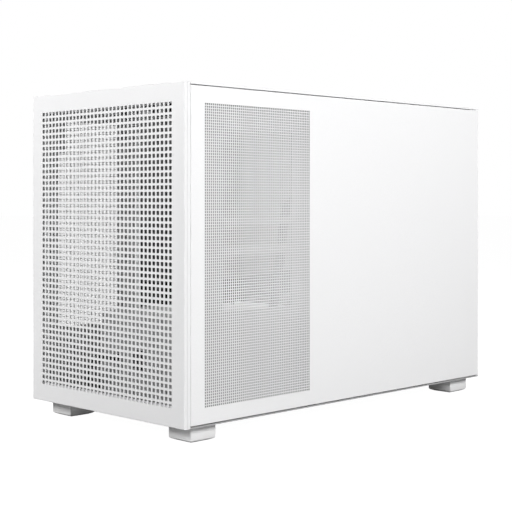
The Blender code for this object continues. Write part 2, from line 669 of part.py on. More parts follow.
def make_fans():
    rear_y = REAR_FAN_FACE - REAR_FAN_DEPTH / 2
    rear = (REAR_FAN_X, rear_y, REAR_FAN_Z)
    fan_frame("rear_fan_frame", rear, (0, 1, 0), REAR_FAN_SIZE, REAR_FAN_DEPTH, 1)
    blade = REAR_FAN_SIZE / 2 - 2.5 - BLADE_CLEARANCE
    fan_rotor("rear_fan_rotor", (REAR_FAN_X, rear_y - 2, REAR_FAN_Z), (0, 1, 0), blade, 18, 7, "white_plastic")
    cooler_x = sum(COOLER_FAN_X) / 2 - 1.6
    fan_rotor("cooler_fan_rotor", (cooler_x, SOCKET_Y, SOCKET_Z), (1, 0, 0), blade, 10, 9, "white_plastic")


# ---- Graphics card ------------------------------------------------------------------------------------


def make_graphics_card():
    low = (-34.0, CARD_FRONT, CARD_Z - 0.8)
    board = block("graphics_board", low, (66.5, SLOT_COVER_Y[0] - GAP, CARD_Z + 0.8), "dark_board")
    tongue = ((65.0, 70.0, CARD_Z - 0.8), (75.4, 153.0, CARD_Z + 0.8))
    socket = ((-34.0, 20.0, CARD_Z), (-22.0, 44.0, CARD_Z + 9))
    join_boxes(board, tongue, socket)

    base = SHROUD_Z[1] - GAP
    inside_x = (SHROUD_X[0] + 4, SHROUD_X[1] - 4)
    inside_y = (SHROUD_Y[0] + 4, SHROUD_Y[1] - 4)
    sink_low = (inside_x[0], inside_y[0], base - 4)
    sink = block("graphics_heatsink", sink_low, (inside_x[1], inside_y[1], base), "aluminium")
    fins = slotted((inside_x[0], inside_y[0], 84.0), (inside_x[1], inside_y[1], base - 3), 1, 26, 0.16)
    posts = [((CARD_FAN_X - 6, y - 6, 82.5), (CARD_FAN_X + 6, y + 6, base - 2)) for y in CARD_FAN_Y]
    join_boxes(sink, *fins)
    join_boxes(sink, *posts, word="posts")

    low = (SHROUD_X[0], SHROUD_Y[0], SHROUD_Z[0])
    high = (SHROUD_X[1], SHROUD_Y[1], SHROUD_Z[1])
    shroud = block("graphics_shroud", low, high, "white_plastic")
    inner_low = [v + 1.6 for v in low]
    cut_boxes(shroud, (inner_low, (high[0] - 1.6, high[1] - 1.6, high[2] + THROUGH)))
    hole = CARD_FAN_RADIUS + BLADE_CLEARANCE
    cut_rods(shroud, *[((CARD_FAN_X, y, low[2]), (0, 0, 1), hole, 10) for y in CARD_FAN_Y])
    for number, y in enumerate(CARD_FAN_Y, 1):
        centre = (CARD_FAN_X, y, CARD_FAN_Z)
        fan_rotor(f"graphics_fan_{number}", centre, (0, 0, 1), CARD_FAN_RADIUS, 11, 9, "white_plastic")

    near, far = SLOT_COVER_Y
    low = (SLOT_COVER_X[0], near, SLOTS[-2] - COVER_HALF)
    bracket = block("graphics_bracket", low, (SLOT_COVER_X[1], far, CARD_Z + COVER_HALF), "bare_steel")
    vents = slotted((-20.0, near - 5, SLOTS[-2] - 5), (64.0, far + 5, SLOTS[-2] + 5), 0, 12, 0.5)
    sockets = [((x, near - 5, CARD_Z - 6), (x + 15, far + 5, CARD_Z - 1)) for x in (-6.0, 16.0, 38.0)]
    cut_boxes(bracket, *vents, *sockets)

    for number, z in enumerate(SLOTS[:2], 1):
        low = (SLOT_COVER_X[0], near, z - COVER_HALF)
        block(f"slot_cover_{number}", low, (SLOT_COVER_X[1], far, z + COVER_HALF), "white_steel")


# ---- Rear sockets -------------------------------------------------------------------------------------


def port_box(port, grow=0.0):
    """The box of a socket block: (low, high), grown in X and Z for the hole it stands in."""
    middle, height, reach = port
    low = (ON_BOARD - reach - grow, PORT_FRONT, middle - height / 2 - grow)
    return low, (ON_BOARD + grow, PORT_REAR, middle + height / 2 + grow)


def make_rear_sockets():
    depth = 12.0
    face = PORT_REAR
    usb = block("rear_usb_ports", *port_box(USB_BLOCK), "bare_steel")
    pockets = []
    for z in (USB_BLOCK[0] - 8.7, USB_BLOCK[0] + 8.7):
        for x in (ON_BOARD - 4.2, ON_BOARD - 11.8):
            pockets.append(((x - 2.8, face - depth, z - 6.6), (x + 2.8, face + 1, z + 6.6)))
    cut_boxes(usb, *pockets)

    z, height, reach = NETWORK_BLOCK
    network = block("rear_network_port", *port_box(NETWORK_BLOCK), "bare_steel")
    x = ON_BOARD - reach / 2
    cut_boxes(network, ((x - 4.5, face - depth, z - 6.2), (x + 4.5, face + 1, z + 6.2)))

    z, height, reach = VIDEO_BLOCK
    video = block("rear_video_port", *port_box(VIDEO_BLOCK), "bare_steel")
    x = ON_BOARD - reach / 2
    cut_boxes(video, ((x - 2.4, face - depth, z - 7.2), (x + 2.4, face + 1, z + 7.2)))

    z, height, reach = AUDIO_BLOCK
    audio = block("rear_audio_ports", *port_box(AUDIO_BLOCK), "dark_plastic")
    x = ON_BOARD - reach / 2
    jacks = [((x, face, z + JACK_PITCH * n), (0, 1, 0), 1.8, 2 * depth) for n in (-1, 0, 1)]
    cut_rods(audio, *jacks)

    low = (APERTURE_X[0] - 3, REAR_INSIDE - GAP - 0.8, APERTURE_Z[0] - 2.4)
    high = (APERTURE_X[1] + 2, REAR_INSIDE - GAP, APERTURE_Z[1] + 3)
    shield = block("io_shield", low, high, "bare_steel")
    holes = [port_box(port, 0.4) for port in (USB_BLOCK, NETWORK_BLOCK, VIDEO_BLOCK, AUDIO_BLOCK)]
    cut_boxes(shield, *holes)

    low = (INLET[0] - INLET_HALF[0], 192.0, INLET[1] - INLET_HALF[1])
    high = (INLET[0] + INLET_HALF[0], PORT_REAR, INLET[1] + INLET_HALF[1])
    inlet = block("rear_inlet", low, high, "dark_plastic")
    recess_low = (INLET[0] - 12.2, PORT_REAR - 16, INLET[1] - 8.2)
    cut_boxes(inlet, (recess_low, (INLET[0] + 12.2, PORT_REAR + 1, INLET[1] + 8.2)))
    pins = [((INLET[0] + dx, PORT_REAR - 10, INLET[1] + dz), (0, 1, 0), 1.6, 15)
            for dx, dz in ((-7.0, -2.0), (0.0, 2.0), (7.0, -2.0))]
    join_rods(inlet, *pins)


# ---- Power supply -------------------------------------------------------------------------------------


def make_power_supply():
    low, high = zip(SUPPLY_X, SUPPLY_Y, SUPPLY_Z)
    case = block("power_supply_case", low, high, "white_steel")
    inner_low = [v + SHEET for v in low]
    inner_high = [v - SHEET for v in high]
    cut_boxes(case, (inner_low, inner_high), word="hollow")
    fan = (SUPPLY_FAN_X, SUPPLY_FAN_Y, low[2])
    cut_rods(case, (fan, (0, 0, 1), SUPPLY_FAN_RADIUS + BLADE_CLEARANCE, 10))
    x, y, z = ROCKER
    half_x, half_y, half_z = ROCKER_HALF
    hole_low = (x - half_x - 0.5, y - THROUGH, z - half_z - 2)
    cut_boxes(case, (hole_low, (x + half_x + 0.5, y + THROUGH, z + half_z + 2)), word="rocker_hole")

    bm = bmesh.new()
    add_box(bm, (-half_x, -half_y, -half_z), (half_x, half_y, half_z))
    rocker = add_object("power_switch_rocker", bm, "dark_plastic")
    rocker.location = (x * MM, y * MM, z * MM)

    board_z = high[2] - SHEET - 4
    board_low = (low[0] + 4, low[1] + 12, board_z)
    board_high = (high[0] - 4, high[1] - 4, board_z + 1.6)
    board = block("power_supply_board", board_low, board_high, "dark_board")
    transformer = ((-10.0, -120.0, 56.0), (30.0, -80.0, board_z + 0.8))
    coil = ((40.0, -140.0, 62.0), (66.0, -110.0, board_z + 0.8))
    sink = ((-40.0, -150.0, 50.0), (-36.0, -50.0, board_z + 0.8))
    join_boxes(board, transformer, coil, sink)
    capacitors = [((x, -60.0, 76.0), (0, 0, 1), 8.0, 2 * (board_z + 0.8 - 76.0)) for x in (0.0, 24.0, 48.0)]
    join_rods(board, *capacitors)

    centre = (SUPPLY_FAN_X, SUPPLY_FAN_Y, SUPPLY_FAN_Z)
    fan_rotor("power_supply_fan", centre, (0, 0, 1), SUPPLY_FAN_RADIUS, 13, 9, "dark_plastic")


# ---- Leads --------------------------------------------------------------------------------------------


def lead(name, radius, route):
    """A round lead along a smooth curve through the route's points, straight at each end."""
    start, *points, end = [Vector(p) for p in route]
    ends = [2 * points[0] - points[1], *points, 2 * points[-1] - points[-2]]
    smooth = []
    for a, b, c, d in zip(ends, ends[1:], ends[2:], ends[3:]):
        steps = max(2, round((c - b).length / (radius * 5)))
        for n in range(steps):
            t = n / steps
            bend = (2 * a - 5 * b + 4 * c - d) * t + (3 * b - a - 3 * c + d) * t * t
            smooth.append(b + 0.5 * t * ((c - a) + bend))
    smooth = [start, *smooth, points[-1], end]
    curve = bpy.data.curves.new(name, "CURVE")
    curve.dimensions = "3D"
    curve.bevel_depth = radius * MM
    curve.bevel_resolution = 2
    curve.use_fill_caps = True
    spline = curve.splines.new("POLY")
    spline.points.add(len(smooth) - 1)
    for point, place in zip(spline.points, smooth):
        point.co = (*(place * MM), 1.0)
    obj = bpy.data.objects.new(name, curve)
    curve.materials.append(finish_material(name, "cable_jacket"))
    bpy.context.scene.collection.objects.link(obj)


def make_leads():
    face = SUPPLY_Y[1] + GAP
    out = face + 2.5
    header = 66 - GAP
    lead("board_power_lead", 5.0, [
        (20, face, 60), (20, out, 60), (21, -21.5, 68), (24, -20.5, 90), (36, -20.5, 150),
        (42, -21, 190), (48, -22, 208), (56, -22.6, 215), (header - 2, -22.7, 216), (header, -22.7, 216),
    ])
    lead("processor_power_lead", 3.0, [
        (60, face, 30), (60, out, 30), (66, -20, 29), (80, -13, 27.5), (92, -6, 32),
        (95, 10, 60), (95, 60, 150), (95, 130, 260), (93, 165, 298), (84, 180, 305), (70, 181, 302),
        (56, 181, 290), (54, 181, 274), (58, 181, 267), (header - 2, 181, 267), (header, 181, 267),
    ])
    lead("graphics_power_lead", 3.5, [
        (-20, face, 60), (-20, out, 60), (-24, -21, 70), (-42, -20, 94), (-52, -10, 108),
        (-54, 10, 113), (-50, 26, 112.5), (-43, 32, 112), (-36 - GAP, 32, 112), (-34 - GAP, 32, 112),
    ])
    x, z = INLET
    plug = SUPPLY_Y[0] - GAP
    lead("inlet_lead", 3.5, [
        (x, 192 - GAP, z), (x, 188, z), (x, 170, 46), (x, 150, 26), (x, 0, 23), (x, -120, 23),
        (x, -172, 28), (x + 8, -188, 42), (x + 26, -190, 58), (-40, plug - 6, 60), (-40, plug, 60),
    ])


def main():
    clear_scene()
    make_front_cover()
    make_right_panel()
    make_left_side()
    make_top()
    make_bottom()
    make_front_frame()
    make_rear_panel()
    make_tray()
    make_left_fan_bracket()
    make_service_plate()
    make_feet()
    make_controls()
    make_mainboard()
    make_memory()
    make_cooler()
    make_fans()
    make_graphics_card()
    make_rear_sockets()
    make_power_supply()
    make_leads()


main()
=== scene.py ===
"""Looks of the compact desktop tower: perforated covers, feet, fans, boards, sockets and every finish.

Sizes are in millimetres and MM turns them into metres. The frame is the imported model's own: +Z up, the front
along -Y, +X the side with the steel panel and -X the side with the glass.
"""

import json
import math

import bmesh
import bpy
from mathutils import Matrix, Vector


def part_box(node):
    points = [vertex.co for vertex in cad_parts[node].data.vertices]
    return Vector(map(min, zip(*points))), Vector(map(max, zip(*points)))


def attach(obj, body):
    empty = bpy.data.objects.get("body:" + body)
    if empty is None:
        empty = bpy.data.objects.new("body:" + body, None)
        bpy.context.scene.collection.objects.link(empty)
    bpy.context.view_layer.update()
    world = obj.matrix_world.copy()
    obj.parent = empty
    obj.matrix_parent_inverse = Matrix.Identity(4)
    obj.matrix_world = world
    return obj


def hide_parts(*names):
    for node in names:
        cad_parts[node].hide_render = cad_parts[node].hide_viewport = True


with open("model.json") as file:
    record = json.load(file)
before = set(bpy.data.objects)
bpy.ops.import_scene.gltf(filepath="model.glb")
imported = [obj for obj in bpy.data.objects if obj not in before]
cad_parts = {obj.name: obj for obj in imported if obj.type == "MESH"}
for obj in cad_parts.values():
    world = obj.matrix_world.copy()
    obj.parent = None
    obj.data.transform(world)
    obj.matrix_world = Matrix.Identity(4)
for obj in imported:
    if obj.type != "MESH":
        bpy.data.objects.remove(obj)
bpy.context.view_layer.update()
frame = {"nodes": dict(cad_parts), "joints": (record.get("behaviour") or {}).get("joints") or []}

MM = 0.001

# Camera: eye level with the tower, off its front right corner
CAMERA_PLACE = (0.8872, -0.9029, 0.2173)
CAMERA_HEADING = -45.118
CAMERA_PITCH = -0.062
CAMERA_LENS = 83.08
CAMERA_SHIFT_Y = -0.109

# Perforated sheets
SHEET = 0.6
BEND = 0.8
BEND_STEPS = 3
FRONT_COLUMNS = 35
FRONT_ROWS = 48
FRONT_PITCH = 5.67
FRONT_HOLE = 3.55
FRONT_HOLE_WIDEN = 1.08
FRONT_HOLE_ROUND = 0.4
SIDE_COLUMNS = 56
SIDE_ROWS = 110
LEFT_COLUMNS = 34
SIDE_PITCH = 2.46
SIDE_HOLE = 1.62
SIDE_MESH_INSET = 17.7 - SIDE_PITCH / 2
SIDE_MESH_LOW = 33.4 - SIDE_PITCH / 2

# Feet
FOOT_PAD = 0.6
FOOT_CHAMFER = 1.3
FOOT_DRAFT = 2.6

# Top
FILTER_PITCH = 3.2
FILTER_HOLE = 2.1
FILTER_COLUMNS = 44
FILTER_ROWS = 104
POWER_CAP = 5.7
RESET_CAP = 2.7
GLASS_BORDER = 9.0

# Rear plate, with +X to the left when it is drawn facing the rear
REAR_PITCH = 5.4
REAR_HOLE = 4.1
REAR_GRILLE_RADIUS = 55.5
REAR_VENT = (-100.0, 78.0, -44.0, 150.0)
SLOT_LEFT, SLOT_RIGHT = -28.0, 76.0
SLOT_HALF = 6.8
SLOT_HEIGHTS = [46.0 + 20.32 * n for n in range(4)]
REAR_APERTURE = (-79.0, 119.0, -36.0, 275.0)
REAR_INLET_HOLE = (65.6, 49.6, 94.4, 70.4)
FAN_HOLE = 52.5
SLOT_SCREW_X = 83.0

# Mainboard: its face, then chips as Y, Z, width, height and how far each stands proud
BOARD_FACE = 78.4
GRAPHICS_BOARD_TOP = 107.8
BOARD_CHIPS = (
    (150.0, 128.0, 12.0, 12.0, 1.2),
    (182.0, 136.0, 9.0, 9.0, 1.1),
    (186.0, 60.0, 11.0, 11.0, 1.1),
    (120.0, 76.0, 8.0, 8.0, 1.0),
    (70.0, 76.0, 14.0, 10.0, 1.2),
    (0.0, 112.0, 8.0, 6.0, 1.1),
    (-12.0, 140.0, 6.0, 6.0, 1.0),
    (-12.0, 176.0, 6.0, 9.0, 1.0),
    (44.0, 274.0, 8.0, 6.0, 1.0),
    (112.0, 140.0, 7.0, 7.0, 1.0),
)
BOARD_CANS = [(64.0 + 9.0 * n, 274.0) for n in range(11)] + [(170.0, 60.0), (160.0, 60.0), (195.0, 112.0)]
BOARD_CANS += [(-16.0, 96.0 + 9.0 * n) for n in range(3)]

# Studio light: sky brightness at the horizon and overhead, the floor's lift, and the lamps as name, place,
# target, width, height and watts
SKY_LOW = 0.01
SKY_HIGH = 0.01
FLOOR_LIFT = 0.99
FLOOR_SEEN = 0.12
FLOOR_BOUNCE = 0.25
LAMPS = (
    ("right_lamp", (1.15, -0.1, 0.62), (0, 0, 0.2), 1.3, 0.35, 13.9),
    ("front_lamp", (-0.5, -1.15, 0.62), (0, 0, 0.2), 0.7, 0.35, 11.8),
    ("left_lamp", (-1.15, 0.2, 0.62), (0, 0, 0.6), 1.2, 0.35, 9.0),
    ("rear_lamp", (0.35, 1.05, 0.95), (0, 0, 0.2), 0.7, 0.35, 8.0),
    ("top_lamp", (0, 0, 1.6), (0, 0, 0.2), 1.0, 1.0, 6.2),
    ("low_strip", (0.8, -0.8, 0.06), (0, 0, 0.06), 0.8, 0.06, 1.2),
)

# Directions a flat piece can face: its own x, y and outward z axes in the tower's frame
FACING = {
    "front": ((1, 0, 0), (0, 0, 1), (0, -1, 0)),
    "right": ((0, 1, 0), (0, 0, 1), (1, 0, 0)),
    "left": ((0, -1, 0), (0, 0, 1), (-1, 0, 0)),
    "rear": ((-1, 0, 0), (0, 0, 1), (0, 1, 0)),
    "top": ((1, 0, 0), (0, 1, 0), (0, 0, 1)),
    "bottom": ((1, 0, 0), (0, -1, 0), (0, 0, -1)),
}


# ---------------------------------------------------------------------------
# Node groups and materials


def group_socket(group, name, direction, kind, value=None):
    socket = group.interface.new_socket(name=name, in_out=direction, socket_type=kind)
    if value is not None:
        socket.default_value = value
    return socket


def add_node(tree, kind, **settings):
    node = tree.nodes.new(kind)
    for key, value in settings.items():
        setattr(node, key, value)
    return node


def wire(tree, source, target):
    tree.links.new(source, target)


def noise(tree, vector, scale, detail=2.0, roughness=0.5):
    node = add_node(tree, "ShaderNodeTexNoise")
    wire(tree, vector, node.inputs["Vector"])
    if isinstance(scale, (int, float)):
        node.inputs["Scale"].default_value = scale
    else:
        wire(tree, scale, node.inputs["Scale"])
    node.inputs["Detail"].default_value = detail
    node.inputs["Roughness"].default_value = roughness
    return node.outputs["Fac"]


def math_node(tree, operation, first, second=None, clamp=False):
    node = add_node(tree, "ShaderNodeMath", operation=operation, use_clamp=clamp)
    for socket, value in zip(node.inputs, (first, second)):
        if value is None:
            continue
        if isinstance(value, (int, float)):
            socket.default_value = value
        else:
            wire(tree, value, socket)
    return node.outputs[0]


def map_range(tree, value, from_min, from_max, to_min, to_max):
    node = add_node(tree, "ShaderNodeMapRange")
    wire(tree, value, node.inputs["Value"])
    for name, given in (
        ("From Min", from_min),
        ("From Max", from_max),
        ("To Min", to_min),
        ("To Max", to_max),
    ):
        if isinstance(given, (int, float)):
            node.inputs[name].default_value = given
        else:
            wire(tree, given, node.inputs[name])
    return node.outputs["Result"]


def mix_colour(tree, factor, first, second):
    node = add_node(tree, "ShaderNodeMix", data_type="RGBA")
    wire(tree, factor, node.inputs["Factor"])
    for socket, value in ((node.inputs[6], first), (node.inputs[7], second)):
        if isinstance(value, (tuple, list)):
            socket.default_value = value
        else:
            wire(tree, value, socket)
    return node.outputs[2]


def colour(red, green=None, blue=None):
    green = red if green is None else green
    blue = red if blue is None else blue
    return (red, green, blue, 1.0)


def shaded(base, amount):
    return (base[0] * amount, base[1] * amount, base[2] * amount, 1.0)


def make_coat_grain():
    """Fine pimples of a sprayed or moulded skin: Height, and Fleck, where the pimples stand highest."""
    group = bpy.data.node_groups.new("Coat Grain", "ShaderNodeTree")
    group_socket(group, "Vector", "INPUT", "NodeSocketVector")
    group_socket(group, "Grains per Metre", "INPUT", "NodeSocketFloat", 1400.0)
    group_socket(group, "Height", "OUTPUT", "NodeSocketFloat")
    group_socket(group, "Fleck", "OUTPUT", "NodeSocketFloat")
    given = add_node(group, "NodeGroupInput").outputs
    fine = noise(group, given["Vector"], given["Grains per Metre"], 1.0)
    cells = add_node(group, "ShaderNodeTexVoronoi", feature="SMOOTH_F1")
    wire(group, given["Vector"], cells.inputs["Vector"])
    wire(group, given["Grains per Metre"], cells.inputs["Scale"])
    height = math_node(group, "ADD", fine, cells.outputs["Distance"])
    fleck = map_range(group, fine, 0.35, 0.65, 0.0, 1.0)
    out = add_node(group, "NodeGroupOutput").inputs
    wire(group, height, out["Height"])
    wire(group, fleck, out["Fleck"])
    return group


def make_handling():
    """Broad patches and light rubs of a surface that has been handled: Patch and Rub, both from 0 to 1."""
    group = bpy.data.node_groups.new("Handling", "ShaderNodeTree")
    group_socket(group, "Vector", "INPUT", "NodeSocketVector")
    group_socket(group, "Patches per Metre", "INPUT", "NodeSocketFloat", 14.0)
    group_socket(group, "Patch", "OUTPUT", "NodeSocketFloat")
    group_socket(group, "Rub", "OUTPUT", "NodeSocketFloat")
    given = add_node(group, "NodeGroupInput").outputs
    broad = noise(group, given["Vector"], given["Patches per Metre"], 3.0, 0.6)
    patch = map_range(group, broad, 0.3, 0.7, 0.0, 1.0)
    turned = add_node(group, "ShaderNodeMapping")
    turned.inputs["Rotation"].default_value = (0.4, 0.2, 0.7)
    turned.inputs["Scale"].default_value = (1.0, 9.0, 1.0)
    wire(group, given["Vector"], turned.inputs["Vector"])
    streaks = noise(group, turned.outputs["Vector"], 60.0, 4.0, 0.7)
    rub = map_range(group, streaks, 0.55, 0.8, 0.0, 1.0)
    out = add_node(group, "NodeGroupOutput").inputs
    wire(group, patch, out["Patch"])
    wire(group, rub, out["Rub"])
    return group


def make_brushing():
    """Long fine lines of rolled or brushed metal along one axis: Height, and Line from 0 to 1."""
    group = bpy.data.node_groups.new("Brushing", "ShaderNodeTree")
    group_socket(group, "Vector", "INPUT", "NodeSocketVector")
    group_socket(group, "Stretch", "INPUT", "NodeSocketVector", (1.0, 1.0, 0.03))
    group_socket(group, "Height", "OUTPUT", "NodeSocketFloat")
    group_socket(group, "Line", "OUTPUT", "NodeSocketFloat")
    given = add_node(group, "NodeGroupInput").outputs
    stretched = add_node(group, "ShaderNodeVectorMath", operation="MULTIPLY")
    wire(group, given["Vector"], stretched.inputs[0])
    wire(group, given["Stretch"], stretched.inputs[1])
    lines = noise(group, stretched.outputs["Vector"], 1600.0, 3.0, 0.6)
    line = map_range(group, lines, 0.3, 0.7, 0.0, 1.0)
    out = add_node(group, "NodeGroupOutput").inputs
    wire(group, lines, out["Height"])
    wire(group, line, out["Line"])
    return group


def make_board_print():
    """Tracks and plated holes of a circuit board seen across it: Track and Hole, both masks from 0 to 1."""
    group = bpy.data.node_groups.new("Board Print", "ShaderNodeTree")
    group_socket(group, "Vector", "INPUT", "NodeSocketVector")
    group_socket(group, "Tracks per Metre", "INPUT", "NodeSocketFloat", 420.0)
    group_socket(group, "Track", "OUTPUT", "NodeSocketFloat")
    group_socket(group, "Hole", "OUTPUT", "NodeSocketFloat")
    given = add_node(group, "NodeGroupInput").outputs
    bent = add_node(group, "ShaderNodeTexVoronoi", feature="F1", distance="CHEBYCHEV")
    bent.inputs["Scale"].default_value = 38.0
    wire(group, given["Vector"], bent.inputs["Vector"])
    run = math_node(group, "MULTIPLY", bent.outputs["Distance"], given["Tracks per Metre"])
    saw = math_node(group, "FRACT", math_node(group, "MULTIPLY", run, 0.05))
    track = map_range(group, saw, 0.55, 0.62, 0.0, 1.0)
    dots = add_node(group, "ShaderNodeTexVoronoi", feature="F1")
    dots.inputs["Scale"].default_value = 260.0
    wire(group, given["Vector"], dots.inputs["Vector"])
    hole = map_range(group, dots.outputs["Distance"], 0.12, 0.18, 1.0, 0.0)
    out = add_node(group, "NodeGroupOutput").inputs
    wire(group, track, out["Track"])
    wire(group, hole, out["Hole"])
    return group


COAT_GRAIN = make_coat_grain()
HANDLING = make_handling()
BRUSHING = make_brushing()
BOARD_PRINT = make_board_print()


def start_material(name, roughness=0.5, metallic=0.0):
    material = bpy.data.materials.new(name)
    material.use_nodes = True
    shader = material.node_tree.nodes["Principled BSDF"]
    shader.inputs["Roughness"].default_value = roughness
    shader.inputs["Metallic"].default_value = metallic
    return material, material.node_tree, shader


def object_vector(tree):
    return add_node(tree, "ShaderNodeTexCoord").outputs["Object"]


def placed_group(tree, group, vector):
    node = add_node(tree, "ShaderNodeGroup", node_tree=group)
    wire(tree, vector, node.inputs["Vector"])
    return node


def bump(tree, shader, height, distance_mm, strength=1.0):
    node = add_node(tree, "ShaderNodeBump")
    node.inputs["Strength"].default_value = strength
    node.inputs["Distance"].default_value = distance_mm * MM
    wire(tree, height, node.inputs["Height"])
    wire(tree, node.outputs["Normal"], shader.inputs["Normal"])


def coated(name, base, roughness, grains=1400.0, grain_mm=0.02, fleck=0.03, patch=0.02, rub=0.08, metallic=0.0):
    """A sprayed, moulded or rubber skin: grain in the bump, flecks and broad patches in the colour, rubs in the gloss."""
    material, tree, shader = start_material(name, roughness, metallic)
    vector = object_vector(tree)
    grain = placed_group(tree, COAT_GRAIN, vector)
    grain.inputs["Grains per Metre"].default_value = grains
    handled = placed_group(tree, HANDLING, vector)
    flecked = mix_colour(tree, grain.outputs["Fleck"], base, shaded(base, 1 - fleck))
    patched = mix_colour(
        tree, map_range(tree, handled.outputs["Patch"], 0.0, 1.0, 0.0, 1.0), flecked, shaded(base, 1 - patch)
    )
    wire(tree, patched, shader.inputs["Base Color"])
    gloss = map_range(tree, handled.outputs["Rub"], 0.0, 1.0, roughness, max(roughness - rub, 0.05))
    wire(tree, gloss, shader.inputs["Roughness"])
    bump(tree, shader, grain.outputs["Height"], grain_mm)
    return material


def brushed(name, base, roughness, stretch, line=0.12, depth_mm=0.01):
    """Rolled, milled or brushed metal with its lines along the axis that stretch shortens."""
    material, tree, shader = start_material(name, roughness, 1.0)
    vector = object_vector(tree)
    lines = placed_group(tree, BRUSHING, vector)
    lines.inputs["Stretch"].default_value = stretch
    handled = placed_group(tree, HANDLING, vector)
    lined = mix_colour(tree, lines.outputs["Line"], base, shaded(base, 1 - line))
    wire(tree, lined, shader.inputs["Base Color"])
    gloss = map_range(tree, handled.outputs["Patch"], 0.0, 1.0, roughness, roughness + 0.12)
    wire(tree, gloss, shader.inputs["Roughness"])
    bump(tree, shader, lines.outputs["Height"], depth_mm)
    return material


def printed_board(name, base, track, hole):
    """Lacquered circuit board with raised tracks under the lacquer and small plated holes."""
    material, tree, shader = start_material(name, 0.4)
    vector = object_vector(tree)
    printed = placed_group(tree, BOARD_PRINT, vector)
    grain = placed_group(tree, COAT_GRAIN, vector)
    tracked = mix_colour(tree, printed.outputs["Track"], base, track)
    drilled = mix_colour(tree, printed.outputs["Hole"], tracked, hole)
    wire(tree, drilled, shader.inputs["Base Color"])
    gloss = map_range(tree, printed.outputs["Hole"], 0.0, 1.0, 0.42, 0.25)
    wire(tree, gloss, shader.inputs["Roughness"])
    wire(tree, printed.outputs["Hole"], shader.inputs["Metallic"])
    height = math_node(tree, "ADD", printed.outputs["Track"], math_node(tree, "MULTIPLY", grain.outputs["Height"], 0.2))
    bump(tree, shader, height, 0.03)
    return material


def make_glass(name):
    """Clear tempered glass. Rays on their way to a lamp pass it, so what is behind it is lit."""
    material, tree, shader = start_material(name, 0.02)
    shader.inputs["Base Color"].default_value = (0.955, 0.975, 0.965, 1.0)
    shader.inputs["Transmission Weight"].default_value = 1.0
    shader.inputs["IOR"].default_value = 1.45
    handled = placed_group(tree, HANDLING, object_vector(tree))
    smear = map_range(tree, handled.outputs["Rub"], 0.0, 1.0, 0.01, 0.06)
    wire(tree, smear, shader.inputs["Roughness"])
    clear = add_node(tree, "ShaderNodeBsdfTransparent")
    clear.inputs["Color"].default_value = (0.9, 0.94, 0.92, 1.0)
    path = add_node(tree, "ShaderNodeLightPath")
    mixed = add_node(tree, "ShaderNodeMixShader")
    wire(tree, path.outputs["Is Shadow Ray"], mixed.inputs["Fac"])
    wire(tree, shader.outputs["BSDF"], mixed.inputs[1])
    wire(tree, clear.outputs["BSDF"], mixed.inputs[2])
    output = tree.nodes["Material Output"]
    wire(tree, mixed.outputs["Shader"], output.inputs["Surface"])
    return material


STEEL_WHITE = coated("White powder coat", colour(0.84, 0.84, 0.845), 0.42, grains=1100.0, grain_mm=0.02)
# A darker grey copy of the white coat for the inside of the case: painted shade, standing in for the shadow inside
INNER_PAINTED_SHADE_COAT = coated("Pale inner coat", colour(0.42, 0.42, 0.425), 0.5, grains=1100.0, grain_mm=0.02)
# The service plate behind the side mesh in dark grey: painted shade, standing in for its shadow behind the mesh
PLATE_PAINTED_SHADE_COAT = coated("Grey service plate coat", colour(0.3, 0.3, 0.305), 0.5, grains=1100.0, grain_mm=0.02)
PLASTIC_WHITE = coated("White moulded plastic", colour(0.82, 0.82, 0.825), 0.5, grains=2200.0, grain_mm=0.012)
FOOT_WHITE = coated("White foot plastic", colour(0.9, 0.9, 0.9), 0.55, grains=1600.0, grain_mm=0.03)
PAD_RUBBER = coated("Grey pad rubber", colour(0.33, 0.33, 0.335), 0.85, grains=1300.0, grain_mm=0.05, fleck=0.2)
FILTER_WHITE = coated("White filter coat", colour(0.8, 0.8, 0.8), 0.5, grains=1500.0, grain_mm=0.015)
PLASTIC_DARK = coated("Dark moulded plastic", colour(0.022, 0.023, 0.026), 0.45, grains=1800.0, grain_mm=0.02)
BOARD = printed_board(
    "Printed board", colour(0.018, 0.02, 0.024), colour(0.045, 0.048, 0.055), colour(0.5, 0.42, 0.25)
)
STEEL_BARE = brushed("Bare steel", colour(0.55, 0.56, 0.57), 0.34, (1.0, 1.0, 0.03))
ALUMINIUM = brushed("Milled aluminium", colour(0.8, 0.81, 0.82), 0.3, (1.0, 1.0, 0.04))
SLEEVE = coated("Grey lead sleeve", colour(0.06, 0.06, 0.063), 0.75, grains=900.0, grain_mm=0.2, fleck=0.3)
RUBBER_DARK = coated("Dark lead jacket", colour(0.03, 0.03, 0.032), 0.6, grains=1200.0, grain_mm=0.03, fleck=0.2)
SPREADER = brushed("Brushed spreader", colour(0.72, 0.73, 0.74), 0.36, (1.0, 1.0, 0.04))
BRASS = brushed("Gold plated contact", colour(0.85, 0.6, 0.25), 0.25, (1.0, 1.0, 0.2))
GLASS = make_glass("Tempered glass")

SLOT_MATERIALS = {
    "white_steel": STEEL_WHITE,
    "white_plastic": PLASTIC_WHITE,
    "clear_glass": GLASS,
    "filter_mesh": FILTER_WHITE,
    "foot_plastic": FOOT_WHITE,
    "circuit_board": BOARD,
    "dark_plastic": PLASTIC_DARK,
    "bare_steel": STEEL_BARE,
    "aluminium": ALUMINIUM,
    "cable_jacket": SLEEVE,
}


def dress(node, material):
    """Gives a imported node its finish; its shape stays."""
    shown = frame["nodes"][node]
    for place in shown.material_slots:
        place.material = material
    if not shown.material_slots:
        shown.data.materials.append(material)


def dress_all():
    for node, shown in frame["nodes"].items():
        packed = shown.material_slots[0].material.name if shown.material_slots else ""
        for slot, material in SLOT_MATERIALS.items():
            if packed.startswith(slot):
                dress(node, material)


# ---------------------------------------------------------------------------
# Shared mesh tools. Everything here is in millimetres until piece() makes the object.


def box_mm(node):
    low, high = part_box(node)
    return low / MM, high / MM


